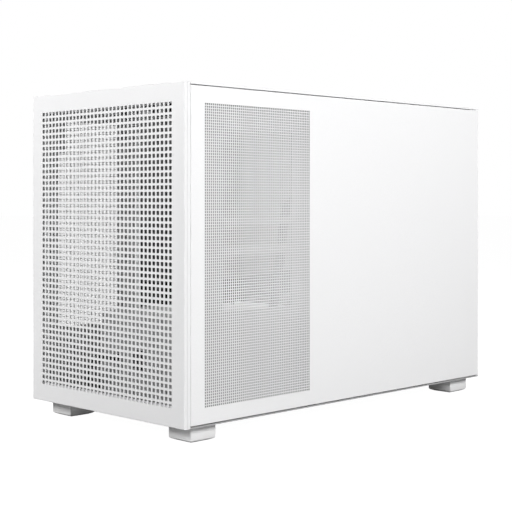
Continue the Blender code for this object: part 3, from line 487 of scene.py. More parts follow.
def facing(side, place):
    """The matrix that stands a piece drawn flat, facing its own +Z, at place and facing that side."""
    across, up, out = (Vector(axis) for axis in FACING[side])
    turn = Matrix((across, up, out)).transposed().to_4x4()
    return Matrix.Translation(Vector(place)) @ turn


def piece(name, shape, material, body, stands_for=(), smooth=None):
    """Makes the object from a bmesh in millimetres, and hangs it on its body."""
    bmesh.ops.scale(shape, vec=(MM, MM, MM), verts=shape.verts)
    mesh = bpy.data.meshes.new(name)
    shape.to_mesh(mesh)
    shape.free()
    materials = material if isinstance(material, (list, tuple)) else [material]
    for given in materials:
        mesh.materials.append(given)
    if smooth is not None:
        mesh.shade_smooth()
        mesh.set_sharp_from_angle(angle=math.radians(smooth))
    made = bpy.data.objects.new(name, mesh)
    bpy.context.scene.collection.objects.link(made)
    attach(made, body)
    if stands_for:
        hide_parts(*stands_for)
    return made


def is_vert(part):
    return isinstance(part, bmesh.types.BMVert)


def is_edge(part):
    return isinstance(part, bmesh.types.BMEdge)


def is_face(part):
    return isinstance(part, bmesh.types.BMFace)


def grow_rim(shape, rim, move):
    """Extrudes an open rim and moves the new edge. Returns the new rim."""
    grown = bmesh.ops.extrude_edge_only(shape, edges=rim)["geom"]
    bmesh.ops.transform(shape, matrix=move, verts=[part for part in grown if is_vert(part)])
    return [part for part in grown if is_edge(part) and part.is_boundary]


def refit(old, new, depth=0.0):
    """The matrix that turns rectangle old into rectangle new, both (x low, y low, x high, y high), moved by depth."""
    old_middle = Vector(((old[0] + old[2]) / 2, (old[1] + old[3]) / 2, 0))
    new_middle = Vector(((new[0] + new[2]) / 2, (new[1] + new[3]) / 2, depth))
    across = (new[2] - new[0]) / (old[2] - old[0])
    up = (new[3] - new[1]) / (old[3] - old[1])
    scale = Matrix.Diagonal((across, up, 1, 1))
    return Matrix.Translation(new_middle) @ scale @ Matrix.Translation(-old_middle)


def widened(box, by):
    return (box[0] - by, box[1] - by, box[2] + by, box[3] + by)


def flat_grid(box, columns, rows):
    """A flat grid of cells over a rectangle, facing +Z."""
    shape = bmesh.new()
    bmesh.ops.create_grid(shape, x_segments=columns, y_segments=rows, size=0.5)
    bmesh.ops.transform(shape, matrix=refit((-0.5, -0.5, 0.5, 0.5), box), verts=shape.verts)
    return shape


def punch(shape, cells, margin, rounding=0.0, steps=1, widen=1.0):
    """Opens a hole in each of these cells, with its corners rounded."""
    bmesh.ops.inset_individual(shape, faces=cells, thickness=margin, depth=0.0, use_even_offset=True)
    if widen != 1.0:
        for cell in cells:
            middle = cell.calc_center_median().x
            for vert in cell.verts:
                vert.co.x = middle + (vert.co.x - middle) * widen
    corners = list({vert for cell in cells for vert in cell.verts})
    bmesh.ops.delete(shape, geom=cells, context="FACES_ONLY")
    if rounding:
        bmesh.ops.bevel(
            shape,
            geom=corners,
            offset=rounding,
            offset_type="OFFSET",
            segments=steps,
            profile=0.5,
            affect="VERTICES",
            material=-1,
        )


def thicken(shape, thickness):
    """Gives an open sheet its wall, on the inner side."""
    bmesh.ops.recalc_face_normals(shape, faces=shape.faces)
    if max(shape.faces, key=lambda face: face.calc_area()).normal.z < 0:
        bmesh.ops.reverse_faces(shape, faces=shape.faces)
    bmesh.ops.solidify(shape, geom=list(shape.faces), thickness=thickness)


def folded_panel(outline, mesh_box, columns, rows, hole, fold, rounding=0.0, widen=1.0):
    """A perforated sheet folded back along its four sides, its outer face at z 0."""
    shape = flat_grid(mesh_box, columns, rows)
    cells = list(shape.faces)
    rim = [edge for edge in shape.edges if edge.is_boundary]
    flat = widened(outline, -BEND)
    rim = grow_rim(shape, rim, refit(mesh_box, flat))
    last = flat
    depth = 0.0
    for step in range(1, BEND_STEPS + 1):
        angle = math.radians(90.0 * step / BEND_STEPS)
        now = widened(flat, BEND * math.sin(angle))
        back = BEND * (1 - math.cos(angle))
        rim = grow_rim(shape, rim, refit(last, now, depth - back))
        last, depth = now, back
    grow_rim(shape, rim, Matrix.Translation((0, 0, -(fold - BEND))))
    pitch = (mesh_box[2] - mesh_box[0]) / columns
    punch(shape, cells, (pitch - hole) / 2, rounding, 2, widen)
    thicken(shape, SHEET)
    return shape


# ---------------------------------------------------------------------------
# Covers


def make_front_cover():
    low, high = box_mm("front_cover")
    outline = (low.x, low.z, high.x, high.z)
    middle_z = (low.z + high.z) / 2
    half = (FRONT_COLUMNS * FRONT_PITCH / 2, FRONT_ROWS * FRONT_PITCH / 2)
    mesh_box = (-half[0], middle_z - half[1], half[0], middle_z + half[1])
    shape = folded_panel(
        outline,
        mesh_box,
        FRONT_COLUMNS,
        FRONT_ROWS,
        FRONT_HOLE,
        high.y - low.y,
        FRONT_HOLE_ROUND,
        FRONT_HOLE_WIDEN,
    )
    bmesh.ops.transform(shape, matrix=facing("front", (0, low.y, 0)), verts=shape.verts)
    piece("front_cover_sheet", shape, STEEL_WHITE, "front_cover", ["front_cover"])
    dress("front_cover_frame", PLASTIC_WHITE)


def make_right_panel():
    low, high = box_mm("right_side_panel")
    outline = (low.y, low.z, high.y, high.z)
    start = low.y + SIDE_MESH_INSET
    mesh_box = (
        start,
        SIDE_MESH_LOW,
        start + SIDE_COLUMNS * SIDE_PITCH,
        SIDE_MESH_LOW + SIDE_ROWS * SIDE_PITCH,
    )
    shape = folded_panel(outline, mesh_box, SIDE_COLUMNS, SIDE_ROWS, SIDE_HOLE, high.x - low.x)
    bmesh.ops.transform(shape, matrix=facing("right", (high.x, 0, 0)), verts=shape.verts)
    piece("right_panel_sheet", shape, STEEL_WHITE, "right_side_panel", ["right_side_panel"])


def make_left_cover():
    low, high = box_mm("left_mesh_cover")
    outline = (-high.y, low.z, -low.y, high.z)
    width = LEFT_COLUMNS * SIDE_PITCH
    start = -low.y - SIDE_MESH_INSET - width
    mesh_box = (start, SIDE_MESH_LOW, start + width, SIDE_MESH_LOW + SIDE_ROWS * SIDE_PITCH)
    shape = folded_panel(outline, mesh_box, LEFT_COLUMNS, SIDE_ROWS, SIDE_HOLE, high.x - low.x)
    bmesh.ops.transform(shape, matrix=facing("left", (low.x, 0, 0)), verts=shape.verts)
    piece("left_cover_sheet", shape, STEEL_WHITE, "left_mesh_cover", ["left_mesh_cover"])


# ---------------------------------------------------------------------------
# Solid shapes, each made in its own bmesh and put into the piece's


def take_in(shape, part, place=None):
    """Puts part, moved by place, into shape and frees it."""
    if place is not None:
        bmesh.ops.transform(part, matrix=place, verts=part.verts)
    carrier = bpy.data.meshes.new("part")
    part.to_mesh(carrier)
    part.free()
    shape.from_mesh(carrier)
    bpy.data.meshes.remove(carrier)


def add_block(shape, low, high, radius=0.0, steps=2):
    """A box between two corners with its edges rounded."""
    part = bmesh.new()
    low, high = Vector(low), Vector(high)
    bmesh.ops.create_cube(part, size=1.0)
    fit = Matrix.Translation((low + high) / 2) @ Matrix.Diagonal((*(high - low), 1.0))
    bmesh.ops.transform(part, matrix=fit, verts=part.verts)
    if radius:
        round_edges(part, list(part.edges), radius, steps)
    take_in(shape, part)


def round_edges(part, edges, radius, steps=2):
    bmesh.ops.bevel(
        part,
        geom=edges,
        offset=radius,
        offset_type="OFFSET",
        segments=steps,
        profile=0.5,
        affect="EDGES",
        clamp_overlap=True,
        material=-1,
    )


def along(start, end):
    """The matrix that stands a piece drawn round +Z at start, pointing to end."""
    way = Vector(end) - Vector(start)
    return Matrix.Translation(Vector(start)) @ way.to_track_quat("Z", "Y").to_matrix().to_4x4()


def add_turned(shape, profile, sides, place):
    """A shape turned on a lathe: a closed profile of (radius, height) points spun round +Z."""
    part = bmesh.new()
    points = [part.verts.new((radius, 0.0, height)) for radius, height in profile]
    ring = [part.edges.new(pair) for pair in zip(points, points[1:] + points[:1])]
    bmesh.ops.spin(
        part,
        geom=points + ring,
        cent=(0, 0, 0),
        axis=(0, 0, 1),
        dvec=(0, 0, 0),
        angle=2 * math.pi,
        steps=sides,
        use_merge=True,
        use_duplicate=False,
    )
    bmesh.ops.remove_doubles(part, verts=part.verts, dist=1e-4)
    bmesh.ops.dissolve_degenerate(part, edges=part.edges, dist=1e-4)
    bmesh.ops.recalc_face_normals(part, faces=part.faces)
    take_in(shape, part, place)


def add_rod(shape, start, end, radius, sides=24, soften=0.0):
    """A round bar from start to end with softened rims."""
    length = (Vector(end) - Vector(start)).length
    profile = [(0.0, 0.0), (radius - soften, 0.0), (radius, soften)]
    profile += [(radius, length - soften), (radius - soften, length), (0.0, length)]
    if not soften:
        profile = [(0.0, 0.0), (radius, 0.0), (radius, length), (0.0, length)]
    add_turned(shape, profile, sides, along(start, end))


def add_ring(shape, start, end, inner, outer, sides=48, soften=0.2):
    """A flat ring or tube from start to end."""
    length = (Vector(end) - Vector(start)).length
    profile = [(inner, 0.0), (outer - soften, 0.0), (outer, soften)]
    profile += [(outer, length - soften), (outer - soften, length), (inner, length)]
    add_turned(shape, profile, sides, along(start, end))


def add_screw(shape, start, end, radius):
    """A screw head from its seat to its top, with a domed rim and a round-cornered drive socket."""
    length = (Vector(end) - Vector(start)).length
    socket = radius * 0.42
    profile = [(0.0, 0.0), (radius, 0.0), (radius, length * 0.45), (radius * 0.86, length * 0.85)]
    profile += [(radius * 0.66, length), (socket, length), (socket * 0.9, length * 0.35), (0.0, length * 0.35)]
    add_turned(shape, profile, 12, along(start, end))


def add_thumb_screw(shape, start, end, radius):
    """A low thumb screw: a knurled rim round a domed head."""
    length = (Vector(end) - Vector(start)).length
    part = bmesh.new()
    bmesh.ops.create_cone(
        part, cap_ends=True, cap_tris=False, segments=40, radius1=radius, radius2=radius, depth=length
    )
    bmesh.ops.translate(part, vec=(0, 0, length / 2), verts=part.verts)
    sides = [face for face in part.faces if abs(face.normal.z) < 0.5]
    grooves = sides[::2]
    bmesh.ops.inset_individual(part, faces=grooves, thickness=0.08, depth=-0.25)
    caps = [face for face in part.faces if face.normal.z > 0.9 and face.calc_area() > radius]
    bmesh.ops.inset_region(part, faces=caps, thickness=radius * 0.35, depth=0.0)
    bmesh.ops.translate(part, vec=(0, 0, -length * 0.25), verts=list({v for f in caps for v in f.verts}))
    take_in(shape, part, along(start, end))


def joint_place(name):
    found = [joint for joint in frame["joints"] if joint["name"] == name]
    return Vector(found[0]["pos_m"]) / MM


# ---------------------------------------------------------------------------
# Feet, top and glass


def make_feet():
    """Four moulded feet, drawn in a little towards the floor, each on a rubber pad."""
    for node in ("foot_front_left", "foot_front_right", "foot_rear_left", "foot_rear_right"):
        low, high = box_mm(node)
        middle = (low + high) / 2
        half = (high.x - low.x) / 2
        body = bmesh.new()
        bmesh.ops.create_cube(body, size=1.0)
        lowest = FOOT_PAD + FOOT_CHAMFER
        fit = Matrix.Translation((middle.x, middle.y, (high.z + lowest) / 2))
        size = Matrix.Diagonal((2 * half, 2 * half, high.z - lowest, 1.0))
        bmesh.ops.transform(body, matrix=fit @ size, verts=body.verts)
        under = [face for face in body.faces if face.normal.z < -0.9]
        grown = bmesh.ops.extrude_face_region(body, geom=under)["geom"]
        bmesh.ops.delete(body, geom=under, context="FACES_ONLY")
        narrow = (half - FOOT_DRAFT) / half
        lower = [part for part in grown if is_vert(part)]
        bmesh.ops.translate(body, vec=(0, 0, -FOOT_CHAMFER), verts=lower)
        bmesh.ops.scale(
            body, vec=(narrow, narrow, 1.0), space=Matrix.Translation(-middle), verts=lower
        )
        round_edges(body, list(body.edges), 0.7, 3)
        piece(node + "_body", body, FOOT_WHITE, "chassis", [node], smooth=40)
        pad = bmesh.new()
        reach = half - FOOT_DRAFT - 1.4
        add_block(
            pad,
            (middle.x - reach, middle.y - reach, low.z),
            (middle.x + reach, middle.y + reach, low.z + FOOT_PAD + 0.4),
            0.35,
        )
        piece(node + "_pad", pad, PAD_RUBBER, "chassis", smooth=40)


def make_top_filter():
    """A perforated lid with a solid border, lying in the top plate's recess."""
    low, high = box_mm("top_filter")
    width = FILTER_COLUMNS * FILTER_PITCH
    length = FILTER_ROWS * FILTER_PITCH
    middle = (low + high) / 2
    mesh_box = (middle.x - width / 2, middle.y - length / 2, middle.x + width / 2, middle.y + length / 2)
    shape = flat_grid(mesh_box, FILTER_COLUMNS, FILTER_ROWS)
    cells = list(shape.faces)
    rim = [edge for edge in shape.edges if edge.is_boundary]
    rim = grow_rim(shape, rim, refit(mesh_box, (low.x + 0.5, low.y + 0.5, high.x - 0.5, high.y - 0.5)))
    grow_rim(shape, rim, refit((low.x + 0.5, low.y + 0.5, high.x - 0.5, high.y - 0.5), (low.x, low.y, high.x, high.y), -0.5))
    punch(shape, cells, (FILTER_PITCH - FILTER_HOLE) / 2)
    thicken(shape, 0.8)
    bmesh.ops.translate(shape, vec=(0, 0, high.z), verts=shape.verts)
    piece("top_filter_sheet", shape, FILTER_WHITE, "top_filter", ["top_filter"])
    magnet = bmesh.new()
    inset = 1.2
    for x0, y0, x1, y1 in (
        (low.x + inset, low.y + inset, high.x - inset, low.y + 4.2),
        (low.x + inset, high.y - 4.2, high.x - inset, high.y - inset),
        (low.x + inset, low.y + 4.6, low.x + 4.2, high.y - 4.6),
        (high.x - 4.2, low.y + 4.6, high.x - inset, high.y - 4.6),
    ):
        add_block(magnet, (x0, y0, low.z), (x1, y1, high.z - 0.85), 0.15, 1)
    piece("top_filter_magnets", magnet, PAD_RUBBER, "top_filter")


def make_controls():
    """Caps with stems and rings for the buttons, and tongues in the sockets on the top."""
    for name, joint, node in (
        ("power_button_cap", "power_button_press", "power_button"),
        ("reset_button_cap", "reset_button_press", "reset_button"),
    ):
        low, high = box_mm(node)
        middle = (low + high) / 2
        radius = POWER_CAP if node == "power_button" else RESET_CAP
        cap = bmesh.new()
        profile = [(0.0, high.z - 3.0), (radius, high.z - 3.0), (radius, high.z - 0.5), (radius - 0.15, high.z - 0.15)]
        profile += [(radius - 0.5, high.z), (radius * 0.7, high.z - 0.12), (radius * 0.35, high.z - 0.3), (0.0, high.z - 0.35)]
        add_turned(cap, profile, 64, Matrix.Translation((middle.x, middle.y, 0)))
        stem = [(0.0, high.z - 3.2), (radius * 0.5, high.z - 3.2), (radius * 0.5, low.z), (0.0, low.z)]
        add_turned(cap, stem, 32, Matrix.Translation((middle.x, middle.y, 0)))
        flange = [(radius - 0.2, high.z - 3.0), (radius + 1.4, high.z - 3.0), (radius + 1.4, high.z - 4.2), (0.0, high.z - 4.2), (0.0, high.z - 3.1)]
        add_turned(cap, flange, 48, Matrix.Translation((middle.x, middle.y, 0)))
        piece(name, cap, PLASTIC_WHITE, node, [node], smooth=35)
    sockets = bmesh.new()
    for node, reach in (("front_usb_port", 3.0), ("front_usb_c_port", 1.1)):
        low, high = box_mm(node)
        middle = (low + high) / 2
        across = (high.x - low.x) / 2 - 2.0
        if node == "front_usb_port":
            tongue = ((middle.x - across, middle.y + 0.4, low.z + 6), (middle.x + across, middle.y + 2.0, high.z - 1.6))
        else:
            tongue = ((middle.x - across, middle.y - 0.35, low.z + 6), (middle.x + across, middle.y + 0.35, high.z - 0.8))
        add_block(sockets, *tongue, 0.15, 1)
    piece("front_socket_tongues", sockets, PLASTIC_DARK, "chassis", smooth=35)


def make_glass_pane():
    """The pane with its polished edge, a white border fired on its inner face and four studs."""
    low, high = box_mm("left_glass")
    pane = bmesh.new()
    add_block(pane, low, high, 0.6, 2)
    piece("left_glass_pane", pane, GLASS, "left_glass", ["left_glass"], smooth=40)
    border = flat_grid((-high.y + 1, low.z + 1, -low.y - 1, high.z - 1), 1, 1)
    bmesh.ops.inset_individual(border, faces=list(border.faces), thickness=GLASS_BORDER, depth=0.0)
    middle = [face for face in border.faces if not any(edge.is_boundary for edge in face.edges)]
    bmesh.ops.delete(border, geom=middle, context="FACES_ONLY")
    thicken(border, 0.15)
    bmesh.ops.transform(border, matrix=facing("left", (high.x + 0.2, 0, 0)), verts=border.verts)
    piece("left_glass_border", border, PLASTIC_WHITE, "left_glass")
    studs = bmesh.new()
    for y in (low.y + 12, high.y - 12):
        for z in (low.z + 14, high.z - 14):
            add_ring(studs, (high.x + 0.4, y, z), (high.x + 2.4, y, z), 1.2, 4.2, 24)
    piece("left_glass_studs", studs, STEEL_BARE, "left_glass", smooth=35)


# ---------------------------------------------------------------------------
# Rear


def make_rear_panel():
    """The rear plate with its slots, its socket opening and the square holes before the fan and beside the slots."""
    low, high = box_mm("rear_panel")
    outline = (-high.x, low.z, -low.x, high.z)
    columns = round((outline[2] - outline[0]) / REAR_PITCH)
    rows = round((outline[3] - outline[1]) / REAR_PITCH)
    shape = flat_grid(outline, columns, rows)
    fan = joint_place("rear_fan_spin")
    holes = []
    for face in shape.faces:
        centre = face.calc_center_median()
        if math.hypot(centre.x + fan.x, centre.y - fan.z) < REAR_GRILLE_RADIUS:
            holes.append(face)
        elif REAR_VENT[0] < -centre.x < REAR_VENT[2] and REAR_VENT[1] < centre.y < REAR_VENT[3]:
            holes.append(face)
    openings = [(-SLOT_RIGHT, z - SLOT_HALF, -SLOT_LEFT, z + SLOT_HALF) for z in SLOT_HEIGHTS]
    openings += [REAR_APERTURE, REAR_INLET_HOLE]
    for x0, z0, x1, z1 in openings:
        for place, normal in (((x0, 0, 0), (1, 0, 0)), ((x1, 0, 0), (1, 0, 0)), ((0, z0, 0), (0, 1, 0)), ((0, z1, 0), (0, 1, 0))):
            near = [
                face
                for face in shape.faces
                if face.is_valid
                and x0 - REAR_PITCH < face.calc_center_median().x < x1 + REAR_PITCH
                and z0 - REAR_PITCH < face.calc_center_median().y < z1 + REAR_PITCH
            ]
            touching = list({e for f in near for e in f.edges}) + list({v for f in near for v in f.verts})
            bmesh.ops.bisect_plane(shape, geom=near + touching, plane_co=place, plane_no=normal, dist=1e-5)
    inside = [
        face
        for face in shape.faces
        if any(
            x0 < face.calc_center_median().x < x1 and z0 < face.calc_center_median().y < z1
            for x0, z0, x1, z1 in openings
        )
    ]
    bmesh.ops.delete(shape, geom=inside, context="FACES")
    holes = [face for face in holes if face.is_valid]
    punch(shape, holes, (REAR_PITCH - REAR_HOLE) / 2, 0.6, 1)
    thicken(shape, high.y - low.y)
    bmesh.ops.transform(shape, matrix=facing("rear", (0, high.y, 0)), verts=shape.verts)
    piece("rear_plate", shape, STEEL_WHITE, "chassis", ["rear_panel"])


def make_rear_fittings():
    """Screws, slot fixings, thumb screws, the tongues of the rear sockets and the pins of the inlet."""
    low, high = box_mm("rear_panel")
    face = high.y
    screws = bmesh.new()
    fan = joint_place("rear_fan_spin")
    for x in (-FAN_HOLE, FAN_HOLE):
        for z in (-FAN_HOLE, FAN_HOLE):
            add_screw(screws, (fan.x + x, face, fan.z + z), (fan.x + x, face + 1.6, fan.z + z), 3.2)
    for z in SLOT_HEIGHTS:
        add_screw(screws, (SLOT_SCREW_X, face, z), (SLOT_SCREW_X, face + 1.6, z), 3.0)
    piece("rear_screws", screws, STEEL_BARE, "chassis", smooth=35)
    thumbs = bmesh.new()
    for x, z in ((100.0, 36.0), (100.0, 300.0), (-103.0, 36.0), (-103.0, 300.0)):
        add_thumb_screw(thumbs, (x, face, z), (x, high.y + 2.3, z), 4.6)
    piece("rear_thumb_screws", thumbs, STEEL_BARE, "chassis", smooth=30)
    tongues = bmesh.new()
    for name, count, along_z in (("rear_usb_ports", 4, 3.2), ("rear_network_port", 0, 0), ("rear_video_port", 1, 6.5)):
        low, high = box_mm(name)
        middle = (low + high) / 2
        for n in range(count):
            z = low.z + (high.z - low.z) * (n + 0.5) / count
            reach = 5.2 if name == "rear_usb_ports" else 1.0
            add_block(
                tongues,
                (middle.x - reach, high.y - 12, z - (0.7 if name == "rear_usb_ports" else along_z)),
                (middle.x + reach, high.y - 1.2, z + (0.7 if name == "rear_usb_ports" else along_z)),
                0.15,
                1,
            )
    piece("rear_socket_tongues", tongues, PLASTIC_DARK, "chassis", smooth=35)
    pins = bmesh.new()
    low, high = box_mm("rear_inlet")
    middle = (low + high) / 2
    for x, z in ((-7.0, -1.8), (7.0, -1.8), (0.0, 2.2)):
        add_block(
            pins,
            (middle.x + x - 1.0, high.y - 16, middle.z + z - 2.0),
            (middle.x + x + 1.0, high.y - 4, middle.z + z + 2.0),
            0.3,
        )
    piece("rear_inlet_pins", pins, STEEL_BARE, "chassis", smooth=35)


# ---------------------------------------------------------------------------
# Fans


def blade_shape(hub, tip, count, depth, sweep, wall):
    """One curved, twisted blade round +Z, thick and closed, and its copies round the hub."""
    part = bmesh.new()
    bmesh.ops.create_grid(part, x_segments=9, y_segments=5, size=0.5)
    spread = 2 * math.pi / count
    for vert in part.verts:
        out = vert.co.x + 0.5
        across = vert.co.y
        radius = hub * 0.97 + (tip - hub * 0.97) * out
        turn = math.radians(sweep) * out**1.3 + across * spread * (0.86 - 0.12 * out)
        lift = across * (depth - wall - 0.8) * (1.0 - 0.38 * out) - 4.0 * (across**2 - 0.25) * depth * 0.07
        vert.co = (radius * math.cos(turn), radius * math.sin(turn), lift)
    bmesh.ops.recalc_face_normals(part, faces=part.faces)
    bmesh.ops.solidify(part, geom=list(part.faces), thickness=wall)
    bmesh.ops.spin(
        part,
        geom=list(part.verts) + list(part.edges) + list(part.faces),
        cent=(0, 0, 0),
        axis=(0, 0, 1),
        dvec=(0, 0, 0),
        angle=spread * (count - 1),
        steps=count - 1,
        use_merge=False,
        use_duplicate=True,
    )
    bmesh.ops.recalc_face_normals(part, faces=part.faces)
    return part


def make_rotor(node, joint, side, blades, sweep, material=None):
    """A moulded impeller: a cupped hub with a raised ring and curved blades."""
    low, high = box_mm(node)
    centre = joint_place(joint)
    out = Vector(FACING[side][2])
    axis = max(range(3), key=lambda n: abs(out[n]))
    others = [n for n in range(3) if n != axis]
    tip = max(high[n] - centre[n] for n in others) - 0.1
    depth = high[axis] - low[axis]
    centre[axis] = (high[axis] + low[axis]) / 2
    hub = tip * 0.34
    shape = blade_shape(hub, tip, blades, depth, sweep, 1.5)
    half = depth / 2
    profile = [(0.0, -half), (hub, -half), (hub, half - 2.0), (hub - 0.6, half - 0.6), (hub - 2.0, half)]
    profile += [(hub * 0.72, half), (hub * 0.68, half - 0.5), (0.0, half - 0.5)]
    add_turned(shape, profile, 64, Matrix.Identity(4))
    bmesh.ops.transform(shape, matrix=facing(side, centre), verts=shape.verts)
    piece(node + "_impeller", shape, material or PLASTIC_WHITE, node, [node], smooth=35)


def make_rotors():
    make_rotor("rear_fan_rotor", "rear_fan_spin", "rear", 9, 32)
    make_rotor("cooler_fan_rotor", "cooler_fan_spin", "left", 9, 32)
    make_rotor("graphics_fan_1", "graphics_fan_1_spin", "bottom", 11, 40)
    make_rotor("graphics_fan_2", "graphics_fan_2_spin", "bottom", 11, 40)
    make_rotor("power_supply_fan", "power_supply_fan_spin", "bottom", 9, 30, PLASTIC_DARK)


# ---------------------------------------------------------------------------
# Boards and what stands on them


def make_board_parts():
    """Chips, coils, capacitors, pin rows and screws on the mainboard, all standing towards the glass."""
    low, high = box_mm("mainboard")
    face = BOARD_FACE
    chips = bmesh.new()
    for y, z, across, up, proud in BOARD_CHIPS:
        add_block(chips, (face - proud, y - across / 2, z - up / 2), (face, y + across / 2, z + up / 2), 0.25, 1)
    piece("board_chips", chips, PLASTIC_DARK, "chassis", smooth=35)
    coils = bmesh.new()
    for n in range(9):
        z = 158.0 + n * 10.6
        add_block(coils, (face - 6.2, 163.0, z - 4.2), (face, 171.0, z + 4.2), 0.8)
    piece("board_coils", coils, ALUMINIUM, "chassis", smooth=35)
    cans = bmesh.new()
    for y, z in BOARD_CANS:
        profile = [(0.0, 0.0), (3.3, 0.0), (3.3, 0.9), (3.0, 1.2), (3.0, 6.6), (2.7, 7.0), (0.0, 7.0)]
        add_turned(cans, profile, 20, along((face, y, z), (face - 7.0, y, z)))
    piece("board_capacitors", cans, ALUMINIUM, "chassis", smooth=35)
    pins = bmesh.new()
    for start_y, z, count in ((20.0, 42.0, 9), (60.0, 42.0, 5), (110.0, 42.0, 5), (150.0, 42.0, 9)):
        for n in range(count):
            for row in (0.0, 2.54):
                y = start_y + 2.54 * n
                add_block(pins, (face - 8.5, y - 0.32, z + row - 0.32), (face - 1, y + 0.32, z + row + 0.32))
    piece("board_pins", pins, BRASS, "chassis")
    bases = bmesh.new()
    for start_y, z, count in ((20.0, 42.0, 9), (60.0, 42.0, 5), (110.0, 42.0, 5), (150.0, 42.0, 9)):
        add_block(bases, (face - 2.5, start_y - 1.4, z - 1.4), (face, start_y + 2.54 * (count - 1) + 1.4, z + 3.94), 0.2, 1)
    for z in (52.0, 60.0):
        add_block(bases, (face - 9.0, low.y + 1.0, z), (face, low.y + 14.0, z + 7.0), 0.4, 1)
    piece("board_pin_bases", bases, PLASTIC_DARK, "chassis", smooth=35)
    screws = bmesh.new()
    for y in (low.y + 6.5, low.y + 120.0, high.y - 16.0):
        for z in (low.z + 6.5, low.z + 112.0, high.z - 6.5):
            add_screw(screws, (face, y, z), (face - 2.0, y, z), 3.2)
    piece("board_screws", screws, STEEL_BARE, "chassis", smooth=35)


def make_memory():
    """Two sticks with a folded heat spreader, its ribs standing towards the glass."""
    for number in (1, 2):
        node = f"memory_stick_{number}"
        low, high = box_mm(node)
        middle = (low.y + high.y) / 2
        stick = bmesh.new()
        add_block(stick, (70.0, middle - 0.7, low.z), (high.x, middle + 0.7, high.z))
        piece(node + "_board", stick, BOARD, "chassis", [node])
        spreader = bmesh.new()
        add_block(spreader, (low.x + 3.0, low.y, low.z), (70.0, middle - 0.8, high.z), 0.4)
        add_block(spreader, (low.x + 3.0, middle + 0.8, low.z), (70.0, high.y, high.z), 0.4)
        add_block(spreader, (low.x + 3.0, low.y + 0.5, low.z + 1), (low.x + 5.5, high.y - 0.5, high.z - 1), 0.3)
        for n in range(14):
            z = low.z + 8.0 + n * 9.2
            add_block(spreader, (low.x, low.y + 0.4, z), (low.x + 4.0, high.y - 0.4, z + 5.4), 0.5)
        piece(node + "_spreader", spreader, SPREADER, "chassis", smooth=35)


def add_fin_stack(shape, low, high, axis, count, wall):
    """Thin fins across a box, one after another along an axis."""
    for n in range(count):
        start = list(low)
        end = list(high)
        middle = low[axis] + (high[axis] - low[axis]) * (n + 0.5) / count
        start[axis], end[axis] = middle - wall / 2, middle + wall / 2
        add_block(shape, start, end)


def make_heatsinks():
    """Fin stacks on the processor cooler and the graphics card, with heat pipes through the cooler's."""
    low, high = box_mm("cooler_heatsink")
    middle = (low + high) / 2
    sink = bmesh.new()
    fin_back = low.x + 20.0
    add_fin_stack(sink, (low.x, low.y, low.z), (fin_back, high.y, high.z), 2, 46, 0.45)
    add_block(sink, (high.x - 5.0, middle.y - 20, middle.z - 20), (high.x, middle.y + 20, middle.z + 20), 0.8)
    piece("cooler_fins", sink, ALUMINIUM, "chassis", ["cooler_heatsink"])
    pipes = bmesh.new()
    for y in (-15.0, -5.0, 5.0, 15.0):
        far = middle.y + y * 2.6
        add_rod(pipes, (fin_back - 8, far, low.z + 4), (fin_back - 8, far, high.z - 4), 3.0, 20, 0.8)
        add_block(pipes, (high.x - 10.0, middle.y + y - 3, middle.z - 18), (high.x - 4.0, middle.y + y + 3, middle.z + 18), 1.6)
        add_rod(pipes, (high.x - 8, middle.y + y, middle.z - 14), (fin_back - 8, far, low.z + 6), 3.0, 20)
    piece("cooler_pipes", pipes, ALUMINIUM, "chassis", smooth=35)
    low, high = box_mm("graphics_heatsink")
    card = bmesh.new()
    add_fin_stack(card, (low.x, low.y, low.z + 4), (high.x, high.y, high.z - 3), 1, 90, 0.4)
    add_block(card, (low.x, low.y, high.z - 3), (high.x, high.y, high.z), 0.4)
    piece("graphics_fins", card, ALUMINIUM, "chassis", ["graphics_heatsink"])


def make_graphics_parts():
    """Back plate, ribs and screws of the graphics card."""
    low, high = box_mm("graphics_board")
    top = GRAPHICS_BOARD_TOP
    plate = flat_grid((low.x + 1, low.y + 6, 62.0, 198.0), 12, 26)
    cells = [
        face
        for face in plate.faces
        if 140 < face.calc_center_median().y < 190 and -28 < face.calc_center_median().x < 56
    ]
    punch(plate, cells, 1.3, 0.8, 2)
    thicken(plate, 1.0)
    bmesh.ops.translate(plate, vec=(0, 0, top + 2.6), verts=plate.verts)
    piece("graphics_back_plate", plate, PLASTIC_DARK, "chassis")
    screws = bmesh.new()
    for x in (low.x + 6, 57.0):
        for y in (low.y + 11, 60.0, 105.0, 193.0):
            add_rod(screws, (x, y, top), (x, y, top + 1.7), 2.2, 16)
            add_screw(screws, (x, y, top + 2.6), (x, y, top + 3.7), 2.2)
    piece("graphics_screws", screws, STEEL_BARE, "chassis", smooth=35)
    low, high = box_mm("graphics_shroud")
    ribs = bmesh.new()
    for n in range(9):
        y = low.y + 78.0 + n * 6.0
        add_block(ribs, (low.x - 0.0, y, low.z + 6), (low.x + 2.0, y + 2.4, high.z - 6), 0.5)
    piece("graphics_ribs", ribs, PLASTIC_DARK, "chassis", smooth=35)


# ---------------------------------------------------------------------------
# Leads: several sleeved wires side by side, and their plugs


def smooth_route(route, step=3.0):
    """Points along a smooth curve through the route, straight at its two ends."""
    start, *points, end = [Vector(point) for point in route]
    ends = [2 * points[0] - points[1], *points, 2 * points[-1] - points[-2]]
    made = [start]
    for a, b, c, d in zip(ends, ends[1:], ends[2:], ends[3:]):
        steps = max(2, round((c - b).length / step))
        for n in range(steps):
            t = n / steps
            bend = (2 * a - 5 * b + 4 * c - d) * t + (3 * b - a - 3 * c + d) * t * t
            made.append(b + 0.5 * t * ((c - a) + bend))
    return made + [points[-1], end]


